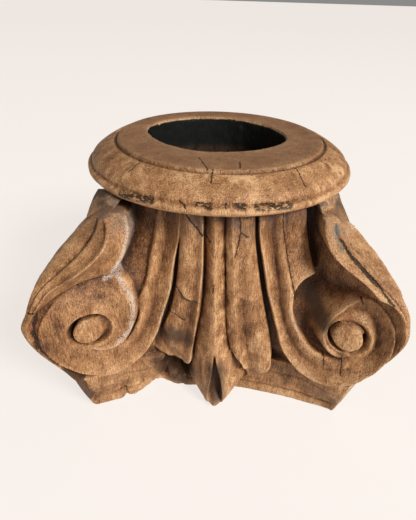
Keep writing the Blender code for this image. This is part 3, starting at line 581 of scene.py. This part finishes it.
def leaf_section(heights, turn):
    """Points across the corner leaf on the right of a face, without its two edges."""
    shares = np.linspace(1, -1, LEAF_COLUMNS + 2)[1:-1]
    if turn == 3:
        shares = -shares
    z = np.repeat(heights[:, None], LEAF_COLUMNS, axis=1)
    places = np.repeat(shares[None, :], len(heights), axis=0)
    x, depth = leaf_surface(z, places, CORNERS[turn])
    if turn == 3:
        x, depth = depth, x
    return x, depth, z


def body_rows():
    """Every section of the carved body, as rows of points running round it."""
    heights = np.arange(0.8, COLLAR_UNDERSIDE, ROW_STEP)
    points = []
    for turn in range(4):
        for x, depth, z in (face_section(heights, turn), leaf_section(heights, turn)):
            across, out = x, -depth
            for _ in range(turn):
                across, out = -out, across
            points.append(np.stack([across, out, z], axis=2))
    return np.concatenate(points, axis=1)


# ---- the collar and its socket
# The collar is turned on the same block: a flat top, a step, a full round moulding and a bead.
# The oval socket cut down into its top took the tenon of the shaft.

PATTERN_HEIGHT = 258.5
COLLAR_CENTRE = (-3.3, -2.8)
COLLAR_PROFILE = [
    (116, 228.8), (124, 228.9), (127.5, 229.3), (130.2, 230.5), (131.7, 232.4), (132.1, 234.4),
    (131.7, 236.2), (130.4, 237.4), (128.6, 237.7), (127.8, 238.4), (127.6, 240), (126.4, 243),
    (124.1, 245.6), (121.2, 247.9), (118.2, 249.9), (113.2, 252.8), (109, 254.9),
    (106.6, 255.7), (105.4, 255.5), (104.4, 254.9), (103.4, 254.8), (102.7, 255.6),
    (102.3, 257.2), (101.6, 258.2), (100.2, 258.5), (96, 258.5)]
SOCKET_CENTRE = (-7.3, 8)
SOCKET_HALF_WIDTHS = (72.5, 65)
SOCKET_TURN = math.radians(-15)
SOCKET_DEPTH = 90
SOCKET_ROUNDNESS = 1.8
TOP_RING_RADIUS = 96
PROFILE_STEP = 0.9 if fine else 1.8
TOP_STEPS = 22 if fine else 8
WALL_STEPS = 40 if fine else 16


def along_profile(profile, step):
    """Evenly spaced points along a profile, with its corners rounded a little."""
    corners = np.array(profile, float)
    lengths = np.concatenate([[0], np.cumsum(np.hypot(*np.diff(corners, axis=0).T))])
    places = np.arange(0, lengths[-1], step)
    reach = through(list(zip(lengths, corners[:, 0])), places)
    height = np.minimum(through(list(zip(lengths, corners[:, 1])), places), PATTERN_HEIGHT)
    return reach, height


def ring(centre, across, out, level):
    """One row of points round a centre, all at one level."""
    return np.stack([centre[0] + across, centre[1] + out, across * 0 + level], axis=1)


def collar_rows(angles):
    """The collar from its underside over the moulding to the rim of the socket."""
    reach, height = along_profile(COLLAR_PROFILE, PROFILE_STEP)
    rows = []
    for radius, level in zip(reach, height):
        broken_grain = ridge(level - 238, 1.6) * rise(126, 129, radius)
        crumbled = np.clip(uneven(angles * 131, angles * 0 + level * 2, 2.6, 31), 0, 1)
        bumps = 0.25 * uneven(angles * 120, angles * 0 + level, 11, 32)
        out = radius + bumps - 1.8 * broken_grain * crumbled
        rows.append(ring(COLLAR_CENTRE, out * np.sin(angles), -out * np.cos(angles), level))
    return rows


def socket_rows(angles):
    """The flat ring of the top, the wall of the socket and its floor."""
    half_x, half_y = SOCKET_HALF_WIDTHS
    rows = []
    ring_x = COLLAR_CENTRE[0] + TOP_RING_RADIUS * np.sin(angles)
    ring_y = COLLAR_CENTRE[1] - TOP_RING_RADIUS * np.cos(angles)
    turned = angles - SOCKET_TURN
    right, front = np.sin(turned) / half_x, np.cos(turned) / half_y
    radius = np.abs(right) ** SOCKET_ROUNDNESS + np.abs(front) ** SOCKET_ROUNDNESS
    radius = radius ** (-1 / SOCKET_ROUNDNESS)
    radius = radius * (1 + 0.008 * uneven(angles * 65, angles * 0, 5, 41))
    across, out = radius * np.sin(angles), -radius * np.cos(angles)
    hole_x, hole_y = SOCKET_CENTRE[0] + across, SOCKET_CENTRE[1] + out
    for step in range(1, TOP_STEPS + 1):
        share = step / TOP_STEPS
        level = PATTERN_HEIGHT - 0.3 * rise(0, 1, share) - 0.9 * rise(0.97, 1, share)
        rows.append(ring((0, 0), mix(ring_x, hole_x, share), mix(ring_y, hole_y, share), level))
    for step in range(1, WALL_STEPS + 1):
        level = PATTERN_HEIGHT - 2 - (SOCKET_DEPTH - 2) * step / WALL_STEPS
        shrink = 0.994 + 0.006 * uneven(angles * 65, angles * 0 + level, 6, 42)
        rows.append(ring(SOCKET_CENTRE, across * shrink, out * shrink, level))
    for share in (0.93, 0.7, 0.4, 0.12):
        rows.append(ring(SOCKET_CENTRE, across * share, out * share,
                         PATTERN_HEIGHT - SOCKET_DEPTH))
    return rows


# ---- the block
# One block of old hardwood, carved on four sides and turned at the top. It was a capital, and
# it stands on what was its abacus. The carver's sizes are scaled to the frame here.

block_low, block_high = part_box("carved_column_base")
mm = (block_high[2] - block_low[2]) / PATTERN_HEIGHT
WANTED_TRIANGLES = 190000


def quarter(columns):
    """Angles in degrees of the collar's points over one face and the leaf on its right."""
    return np.concatenate([np.linspace(-42, 42, columns),
                           np.linspace(42, 48, LEAF_COLUMNS + 2)[1:-1]])


body = body_rows()
angles = np.radians(np.concatenate([
    quarter(FRONT_COLUMNS), quarter(FACE_COLUMNS) + 90, quarter(FACE_COLUMNS) + 180,
    quarter(FACE_COLUMNS) + 270]))
underside = [np.stack([body[0][:, 0] * share, body[0][:, 1] * share, body[0][:, 2] * 0], axis=1)
             for share in (0.1, 0.35, 0.6, 0.8, 0.92, 0.975, 0.994)]
collar = collar_rows(angles)
socket = socket_rows(angles)
grid = np.concatenate([np.array(underside), body, np.array(collar), np.array(socket)], axis=0)
row_count, column_count = grid.shape[:2]

# The frame stands on the middle of the footprint, and the carver's sizes run from the axis of
# the carving, which is a little off it.
plan = grid[:, :, :2].reshape(-1, 2)
block_middle = 0.5 * (np.array(block_low) + np.array(block_high))[:2]
offset = block_middle / mm - 0.5 * (plan.max(axis=0) + plan.min(axis=0))


def in_frame(points):
    """Points in the carver's millimetres, moved into the frame and scaled to it."""
    return (points + np.array([offset[0], offset[1], block_low[2] / mm])) * mm


def closed_grid(name, points):
    """A closed mesh through rows of points, with a small cap at each end."""
    rows, columns = points.shape[:2]
    start = (np.arange(rows - 1) * columns)[:, None]
    here = np.arange(columns)[None, :]
    following = (here + 1) % columns
    quads = np.stack([start + here, start + following, start + columns + following,
                      start + columns + here], axis=2).reshape(-1, 4)
    mesh = bpy.data.meshes.new(name)
    faces = quads.tolist()
    faces.append(list(reversed(range(columns))))
    faces.append(list(range((rows - 1) * columns, rows * columns)))
    mesh.from_pydata(in_frame(points.reshape(-1, 3)).tolist(), [], faces)
    return mesh


def smoothed(values, rows, columns):
    """Average over a patch of the grid, which closes round the block."""
    padded = np.concatenate([values[:, -columns:], values, values[:, :columns]], axis=1)
    padded = np.pad(padded, ((rows, rows), (0, 0), (0, 0)), mode="edge")
    for axis, reach in ((0, rows), (1, columns)):
        total = np.cumsum(padded, axis=axis)
        size = 2 * reach + 1
        first = np.take(total, range(0, 1), axis=axis) * 0
        total = np.concatenate([first, total], axis=axis)
        count = padded.shape[axis] - size + 1
        ahead = np.take(total, range(size, size + count), axis=axis)
        behind = np.take(total, range(count), axis=axis)
        padded = (ahead - behind) / size
    return padded


def facing(points):
    """Unit normals of the grid, pointing out of the block."""
    along = np.roll(points, -1, axis=1) - np.roll(points, 1, axis=1)
    upward = np.gradient(points, axis=0)
    normal = np.cross(along, upward)
    return normal / np.maximum(np.linalg.norm(normal, axis=2, keepdims=True), 1e-9)


def standing_out(points, rows, columns):
    """How far each point stands out from the average of its surroundings."""
    middle = smoothed(smoothed(points, rows, columns), rows, columns)
    return np.sum((points - middle) * facing(middle), axis=2)


near_by = 3 if fine else 2
crest = smoothed(standing_out(grid, near_by, near_by)[:, :, None], 1, 1)[:, :, 0]
relief = standing_out(grid, 4 * near_by, 4 * near_by)
hollow = standing_out(grid, 13 * near_by, 13 * near_by)
in_socket = np.zeros(grid.shape[:2])
in_socket[len(underside) + len(body) + len(collar) + TOP_STEPS:] = 1

mesh = closed_grid("column_base", grid)
for name, values in (("crest", crest), ("relief", relief), ("hollow", hollow),
                     ("in_socket", in_socket)):
    layer = mesh.attributes.new(name, "FLOAT", "POINT")
    layer.data.foreach_set("value", values.reshape(-1).astype(np.float32))
column_base = bpy.data.objects.new("column_base", mesh)
put_in_scene = bpy.context.scene.collection.objects.link
put_in_scene(column_base)

triangles = 2 * row_count * column_count
if triangles > WANTED_TRIANGLES:
    thin_out = column_base.modifiers.new("fewer_faces", "DECIMATE")
    thin_out.ratio = WANTED_TRIANGLES / triangles
    ready = bpy.data.meshes.new_from_object(column_base.evaluated_get(
        bpy.context.evaluated_depsgraph_get()))
    column_base.modifiers.clear()
    column_base.data = ready
column_base.data.shade_smooth()

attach(column_base, "root")
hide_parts("carved_column_base")


# ---- the finish
# Old brown hardwood under worn wax: dirt and painted shade in the cuts and hollows, pale rubbed
# crests, drying checks, chips along the lip, a few traces of old paint and black paint inside the
# socket.
# Painted shade also darkens the left volute, the low left corner and the wood under the collar, and
# painted highlights lighten the low right corner, the right tongue's spoon and the collar's moulding.

wood = bpy.data.materials.new("old_waxed_wood")
wood.use_nodes = True
nodes, links = wood.node_tree.nodes, wood.node_tree.links
shader = nodes["Principled BSDF"]


def add_node(kind, **settings):
    """A node of the wood, with its settings."""
    node = nodes.new(kind)
    for key, value in settings.items():
        setattr(node, key, value)
    return node


def feed(socket, source):
    """Gives a socket another node's output, or a plain value."""
    if hasattr(source, "is_output"):
        links.new(source, socket)
    else:
        socket.default_value = source


def calculate(operation, first, second=0, third=0):
    """A sum of that kind from plain values or other nodes."""
    node = add_node("ShaderNodeMath", operation=operation)
    for socket, source in zip(node.inputs, (first, second, third)):
        feed(socket, source)
    return node.outputs[0]


def on_places(operation, first, second, output="Vector"):
    """The same for places and directions."""
    node = add_node("ShaderNodeVectorMath", operation=operation)
    feed(node.inputs[0], first)
    feed(node.inputs["Scale" if operation == "SCALE" else 1], second)
    return node.outputs[output]


def fade(value, low, high):
    """0 at low and 1 at high, as a node."""
    node = add_node("ShaderNodeMapRange", interpolation_type="SMOOTHSTEP")
    feed(node.inputs["Value"], value)
    node.inputs["From Min"].default_value = low
    node.inputs["From Max"].default_value = high
    return node.outputs["Result"]


def both(first, second):
    return calculate("MULTIPLY", first, second)


def plus(first, second):
    return calculate("ADD", first, second)


def larger(first, second):
    return calculate("MAXIMUM", first, second)


def amount(value, middle, factor):
    """How much a value adds to the tone, away from its middle."""
    return both(calculate("SUBTRACT", value, middle), factor)


def within(value, lowest, highest):
    return calculate("MINIMUM", larger(value, lowest), highest)


def attribute(name):
    return add_node("ShaderNodeAttribute", attribute_name=name).outputs["Fac"]


def blend(share, first, second):
    """From the first colour at 0 to the second at 1."""
    node = add_node("ShaderNodeMix", data_type="RGBA")
    feed(node.inputs[0], share)
    feed(node.inputs[6], first)
    feed(node.inputs[7], second)
    return node.outputs[2]


from_frame = add_node("ShaderNodeVectorMath", operation="MULTIPLY_ADD")
links.new(add_node("ShaderNodeTexCoord").outputs["Object"], from_frame.inputs[0])
from_frame.inputs[1].default_value = [1 / mm] * 3
from_frame.inputs[2].default_value = (-offset[0], -offset[1], -block_low[2] / mm)
carver_place = from_frame.outputs["Vector"]


def speckle(size, stretch=(1, 1, 1), detail=2, roughness=0.5, output="Fac"):
    """Noise with humps of that many millimetres, stretched along each axis."""
    noise = add_node("ShaderNodeTexNoise")
    scale = [1 / (size * factor) for factor in stretch]
    links.new(on_places("MULTIPLY", carver_place, scale), noise.inputs["Vector"])
    for name, value in (("Scale", 1), ("Detail", detail), ("Roughness", roughness)):
        noise.inputs[name].default_value = value
    return noise.outputs[output]


# Marks are drawn flat: over the front below the collar's slope, and from above on the slope.
COLLAR_SLOPE_STARTS = 241
FRONT_ENDS = 26
BEHIND = 500
jitter = on_places("SUBTRACT", speckle(2.6, detail=3, output="Color"), (0.5, 0.5, 0.5))
jitter = on_places("SCALE", jitter, 3.2)
split_place = add_node("ShaderNodeSeparateXYZ")
links.new(on_places("ADD", carver_place, jitter), split_place.inputs["Vector"])
x_here, y_here, z_here = split_place.outputs
on_slope = calculate("GREATER_THAN", z_here, COLLAR_SLOPE_STARTS)
below_slope = calculate("LESS_THAN", z_here, COLLAR_SLOPE_STARTS)
from_front = plus(y_here, calculate("ABSOLUTE", x_here))
out_of_reach = both(calculate("GREATER_THAN", from_front, FRONT_ENDS), BEHIND)
flat_place = add_node("ShaderNodeCombineXYZ")
feed(flat_place.inputs["X"], x_here)
feed(flat_place.inputs["Y"], plus(both(on_slope, y_here), both(below_slope, out_of_reach)))
feed(flat_place.inputs["Z"], both(below_slope, z_here))


def front(*points):
    """A line over the front, through points across it and up it."""
    return [Vector((across, 0, up)) for across, up in points]


def top(*points):
    """A line over the top of the collar, seen from above."""
    return [Vector((across, back, 0)) for across, back in points]


def distance_from(lines):
    """Distance in the carver's millimetres from the nearest of the lines."""
    nearest = 1000
    for line in lines:
        for start, end in zip(line[:-1], line[1:]):
            along = end - start
            from_start = on_places("SUBTRACT", flat_place.outputs["Vector"], start)
            share = on_places("DOT_PRODUCT", from_start, along / along.length_squared, "Value")
            on_line = on_places("SCALE", along, within(share, 0, 1))
            away = on_places("DISTANCE", from_start, on_line, "Value")
            nearest = calculate("MINIMUM", away, nearest)
    return nearest


def near(lines, far, close):
    """1 up to close from the lines, fading to 0 at far."""
    return fade(distance_from(lines), far, close)


COLLAR_GROOVE_RADIUS = 104
THIN_CHECKS = [
    front((13, 230), (15, 211), (21, 206)), front((15, 211), (14, 197), (12, 184)),
    front((50, 226), (53, 208), (56, 196), (60, 180), (63, 168), (74, 130)),
    front((-49, 117), (-41, 114), (-32, 105)), front((-5, 152), (-6, 143)),
    front((102, 89), (103, 77)), front((116, 96), (119, 73)), front((124, 156), (127, 150)),
    front((-160, 150), (-152, 151)), front((-35, 240), (-30, 236)), front((1, 243), (1, 238)),
    top((-22, -77), (-14, -104)), top((-10, -104), (-11, -117)), top((13, -84), (12, -100)),
    top((60, -88), (66, -104)), top((-70, -84), (-80, -93)),
]
WIDE_CHECKS = [
    front((103, 201), (109, 193), (119, 185), (132, 175), (143, 164)),
    front((-33, 230), (-26, 218), (-19, 210), (-10, 198)),
    front((-40, 147), (-34, 138), (-27, 131), (-20, 132)),
    front((-154, 147), (-159, 130), (-158, 114), (-152, 98), (-145, 88)),
]
CHIPPED = [
    front((-22, 240), (-11, 238)), front((9, 240), (15, 238)),
    front((25, 238), (36, 237), (53, 236)), front((-86, 235), (-72, 236), (-58, 237)),
]
CHALKED = [
    front((-103, 161), (-93, 166)), front((-95, 169), (-91, 163)),
    front((-81, 217), (-80, 204), (-83, 191), (-88, 179), (-95, 169)),
    front((-91, 163), (-80, 147), (-78, 132), (-82, 110), (-94, 98)),
]
# Pale patches: painted highlights on the collar's moulding and the right tongue's spoon, and rubbed
# wear down the husk's crest.
RUBBED_AND_LIT = [top((88, -70), (100, -64), (109, -58)), front((38, 92), (33, 66)),
          front((5, 200), (6, 120), (8, 70)), top((-30, -108), (20, -112))]
# Painted shade in the rotted cavity of the foot, below the broken tongue, in the slit over the husk's
# tip and in the right volute's hollow.
SHADED_HOLLOWS = [front((-60, 48), (-54, 18), (-36, 8), (-30, 30)), front((-47, 92), (-32, 80)),
           front((0, 50), (2, 16)), front((88, 140), (96, 124))]
DARK_FACET = [front((-141, 74), (-134, 50), (-131, 24))]
BLUE_GREEN_TRACES = [front((95, 219), (102, 199))]
RED_TRACES = [front((118, 135), (120, 133)), front((-159, 135), (-157, 133)),
              front((100, 236), (108, 235))]

BROWNS = [(0, (0.03, 0.011, 0.004, 1)), (0.25, (0.098, 0.037, 0.012, 1)),
          (0.5, (0.218, 0.097, 0.036, 1)), (0.75, (0.365, 0.182, 0.074, 1)),
          (1, (0.56, 0.33, 0.165, 1))]
# Dark brown for dirt, pores and checks, and for painted shade in creases.
DIRT_AND_SHADE = (0.016, 0.008, 0.004, 1)
# Near black for soot and for painted shade under the collar.
SOOT_AND_SHADE = (0.05, 0.036, 0.034, 1)
CHALK = (0.52, 0.42, 0.35, 1)
END_GRAIN = (0.19, 0.092, 0.043, 1)
# A dark brown for painted shade.
PAINTED_SHADE = (0.04, 0.018, 0.009, 1)
# A pale tan for a painted highlight.
PAINTED_LIGHT_WOOD = (0.62, 0.45, 0.27, 1)
BLUE_GREEN = (0.07, 0.11, 0.1, 1)
RED = (0.36, 0.1, 0.06, 1)
PAINT = (0.01, 0.011, 0.009, 1)
BARE_SOCKET = (0.04, 0.022, 0.014, 1)

EVEN_TONE = 0.585
fibres = speckle(1.1, (1, 1, 14), 3, 0.65)
stipple = speckle(0.9, (1, 1, 1.5), 2, 0.6)
mottle = speckle(30, (1, 1, 1.8), 3, 0.6)
pores = speckle(1.3, (1, 1, 3.5), 2, 0.6)
patches = speckle(9, (1, 1, 1.6), 4, 0.65)
rubbed = speckle(14, (1, 1, 2.5), 4, 0.6)
crest_here = attribute("crest")

# The wood's tone: paler on what stands out, partly wear and partly painted highlight, and darker in
# creases, recesses and hollows, as painted shade.
tone = calculate("MULTIPLY_ADD", within(crest_here, -2.5, 2.5), 0.095, EVEN_TONE)
tone = calculate("MULTIPLY_ADD", within(attribute("relief"), -14, 4), 0.03, tone)
tone = calculate("MULTIPLY_ADD", within(attribute("hollow"), -24, 2), 0.019, tone)
for grain, share in ((mottle, 0.7), (patches, 0.95), (fibres, 0.95), (stipple, 0.95)):
    tone = plus(amount(grain, 0.5, share), tone)
# Paler there: painted highlight, and wear along the husk's crest.
wear_and_highlight = both(near(RUBBED_AND_LIT, 10, 1), fade(patches, 0.34, 0.6))
tone = plus(both(wear_and_highlight, 0.3), tone)
shaded_hollows = near(SHADED_HOLLOWS, 15, 3)
# Painted shade: the left volute is darkened as if turned away from the light.
shaded_left_volute = both(fade(x_here, -90, -122), fade(z_here, 168, 146))
tone = calculate("SUBTRACT", tone, both(shaded_left_volute, 0.12))
browns = add_node("ShaderNodeValToRGB")
links.new(tone, browns.inputs["Fac"])
ramp = browns.color_ramp
while len(ramp.elements) < len(BROWNS):
    ramp.elements.new(0.5)
for element, (position, shade) in zip(ramp.elements, BROWNS):
    element.position = position
    element.color = shade
colour = browns.outputs["Color"]

# What handling, damp and dust have laid over it, with painted shade in hollows, creases, under the
# collar and on the low left corner, and a painted highlight on the low right corner.
on_top = fade(z_here, 256.2, 258)
colour = blend(both(on_top, 0.6), colour, END_GRAIN)
chalky = both(fade(crest_here, 0.9, 2.6), fade(rubbed, 0.48, 0.64))
chalked = both(near(CHALKED, 3.2, 0.4), fade(stipple, 0.38, 0.56))
chalky = larger(both(chalky, 0.55), both(chalked, 0.95))
chalky = both(chalky, fade(z_here, 228, 206))
colour = blend(chalky, colour, CHALK)
# Painted shade laid over those hollows.
colour = blend(both(shaded_hollows, 0.88), colour, PAINTED_SHADE)
# Painted shade on the low left corner where it faces left, away from the light, and a painted
# highlight
# on the low right corner where it faces right, towards it.
facing_here = add_node("ShaderNodeSeparateXYZ")
links.new(add_node("ShaderNodeTexCoord").outputs["Normal"], facing_here.inputs["Vector"])
sideways = facing_here.outputs["X"]
low_corner = both(fade(z_here, 84, 74), fade(y_here, -108, -118))
low_corner = both(low_corner, fade(from_front, 22, 12))
left_corner = both(fade(sideways, -0.42, -0.58), fade(x_here, -90, -110))
left_corner = larger(left_corner, near(DARK_FACET, 7, 5.6))
right_corner = both(fade(sideways, 0.42, 0.58), fade(x_here, 90, 110))
colour = blend(both(both(left_corner, low_corner), 0.85), colour, PAINTED_SHADE)
lit_right_corner = both(both(right_corner, low_corner), fade(patches, 0.3, 0.5))
colour = blend(both(lit_right_corner, 0.8), colour, PAINTED_LIGHT_WOOD)
# Darker under the collar all round: partly soot, partly painted shade under its overhang.
soot_and_collar_shade = both(fade(z_here, 190, 227), fade(z_here, 230.4, 229))
soot_and_collar_shade = both(soot_and_collar_shade, fade(patches, 0.38, 0.6))
colour = blend(both(soot_and_collar_shade, 0.8), colour, SOOT_AND_SHADE)
# Dark in creases and cuts: partly dirt, partly painted shade.
dirt_and_crease_shade = fade(plus(crest_here, amount(patches, 0.5, 3)), -1.2, -4)
colour = blend(both(dirt_and_crease_shade, 0.9), colour, DIRT_AND_SHADE)
specks = both(fade(pores, 0.58, 0.7), 0.6)
colour = blend(specks, colour, DIRT_AND_SHADE)

# Traces of old paint.
blue_green = both(near(BLUE_GREEN_TRACES, 4, 1), fade(patches, 0.42, 0.56))
colour = blend(both(blue_green, 0.8), colour, BLUE_GREEN)
red = both(near(RED_TRACES, 2.6, 0.8), fade(stipple, 0.4, 0.56))
colour = blend(both(red, 0.7), colour, RED)

# Checks and chips, a painted shadow in the collar's groove, and at last the paint in the socket.
thin = near(THIN_CHECKS, 0.75, 0.25)
wide = near(WIDE_CHECKS, 1.2, 0.5)
grain_checks = speckle(5, (1, 1, 9), 2, 0.5)
grain_checks = fade(calculate("ABSOLUTE", amount(grain_checks, 0.5, 1)), 0.01, 0.003)
grain_checks = both(grain_checks, fade(rubbed, 0.52, 0.62))
ragged = speckle(2.4, (1.8, 1.8, 0.8), 4, 0.7)
chips = both(near(CHIPPED, 3.4, 1), fade(ragged, 0.45, 0.5))
collar_radius = plus(x_here, -COLLAR_CENTRE[0])
collar_depth = plus(y_here, -COLLAR_CENTRE[1])
collar_radius = calculate("SQRT", plus(both(collar_radius, collar_radius),
                                       both(collar_depth, collar_depth)))
from_groove = calculate("ABSOLUTE", amount(collar_radius, COLLAR_GROOVE_RADIUS, 1))
# Painted shadow: a thin dark line round the collar's shallow groove.
groove_shadow = both(fade(from_groove, 1.9, 0.6), fade(patches, 0.36, 0.52))
groove_shadow = both(groove_shadow, on_slope)
checks_and_groove_shadow = larger(larger(thin, wide), chips)
checks_and_groove_shadow = larger(checks_and_groove_shadow, both(grain_checks, 0.7))
checks_and_groove_shadow = larger(checks_and_groove_shadow, both(groove_shadow, 0.6))
colour = blend(both(checks_and_groove_shadow, 0.92), colour, DIRT_AND_SHADE)
painted = fade(attribute("in_socket"), 0.3, 0.7)
bare = both(fade(z_here, 229, 221), fade(patches, 0.3, 0.5))
colour = blend(painted, colour, blend(bare, PAINT, BARE_SOCKET))
links.new(colour, shader.inputs["Base Color"])

roughness = calculate("MULTIPLY_ADD", fibres, 0.3, 0.42)
roughness = plus(roughness, both(dirt_and_crease_shade, 0.2))
roughness = calculate("SUBTRACT", roughness, both(painted, 0.28))
links.new(roughness, shader.inputs["Roughness"])
shader.inputs["Specular IOR Level"].default_value = 0.28

bump = add_node("ShaderNodeBump")
bump.inputs["Strength"].default_value = 0.8
bump.inputs["Distance"].default_value = 0.5 * mm
height = plus(both(fibres, 0.6), both(pores, -0.9))
for grain, share in ((patches, 1.6), (stipple, 0.8), (checks_and_groove_shadow, -2.5)):
    height = plus(height, both(grain, share))
links.new(height, bump.inputs["Height"])
links.new(bump.outputs["Normal"], shader.inputs["Normal"])
column_base.data.materials.clear()
column_base.data.materials.append(wood)


# ---- floor, light and camera
# A plain pale floor under soft studio light. The camera stands close and looks down at 32 degrees.

PALE = (0.14, 0.13, 0.122, 1)
GLOW = (0.92, 0.862, 0.812, 1)
ROOM = (1, 0.975, 0.95, 1)
FLOOR_REACH = 80
# Where the camera stands in the carver's millimetres, how it is turned in degrees, and its lens.
CAMERA_PLACE = (-11.4, -427.3, 375.5)
CAMERA_LOOKS_DOWN = 32.2
CAMERA_ROLL = 1.8
FOCAL_LENGTH = 28.87

floor_mesh = bpy.data.meshes.new("studio_floor")
floor_mesh.from_pydata([(across * FLOOR_REACH, back * FLOOR_REACH, 0)
                        for across, back in ((-1, -1), (1, -1), (1, 1), (-1, 1))],
                       [], [(0, 1, 2, 3)])
studio_floor = bpy.data.objects.new("studio_floor", floor_mesh)
studio_floor.location.z = block_low[2] - 0.0005
put_in_scene(studio_floor)
pale_floor = bpy.data.materials.new("pale_floor")
pale_floor.use_nodes = True
for name, value in (("Base Color", PALE), ("Roughness", 0.9), ("Emission Color", GLOW),
                    ("Emission Strength", 0.86)):
    pale_floor.node_tree.nodes["Principled BSDF"].inputs[name].default_value = value
floor_mesh.materials.append(pale_floor)

world = bpy.data.worlds.new("studio")
world.use_nodes = True
for name, value in (("Color", ROOM), ("Strength", 0.26)):
    world.node_tree.nodes["Background"].inputs[name].default_value = value
bpy.context.scene.world = world


def soft_light(name, place, power, size):
    """A square lamp of that many watts, turned towards the carving."""
    light = bpy.data.lights.new(name, "AREA")
    light.energy, light.size = power, size
    lamp = bpy.data.objects.new(name, light)
    lamp.location = place
    towards = Vector((0, 0, 0.12)) - lamp.location
    lamp.rotation_euler = towards.to_track_quat("-Z", "Y").to_euler()
    put_in_scene(lamp)


soft_light("window_light", (2.8, -3, 3), 325, 1.3)
soft_light("fill_light", (-2.4, -2.4, 1.8), 8, 2.4)

bpy.context.scene.view_settings.view_transform = "Standard"
lens = bpy.data.cameras.new("camera")
lens.sensor_width = 36
lens.lens = FOCAL_LENGTH
camera = bpy.data.objects.new("camera", lens)
camera.matrix_world = (Matrix.Translation(in_frame(np.array(CAMERA_PLACE)))
                       @ Matrix.Rotation(math.radians(90 - CAMERA_LOOKS_DOWN), 4, "X")
                       @ Matrix.Rotation(math.radians(CAMERA_ROLL), 4, "Z"))
put_in_scene(camera)
bpy.context.scene.camera = camera
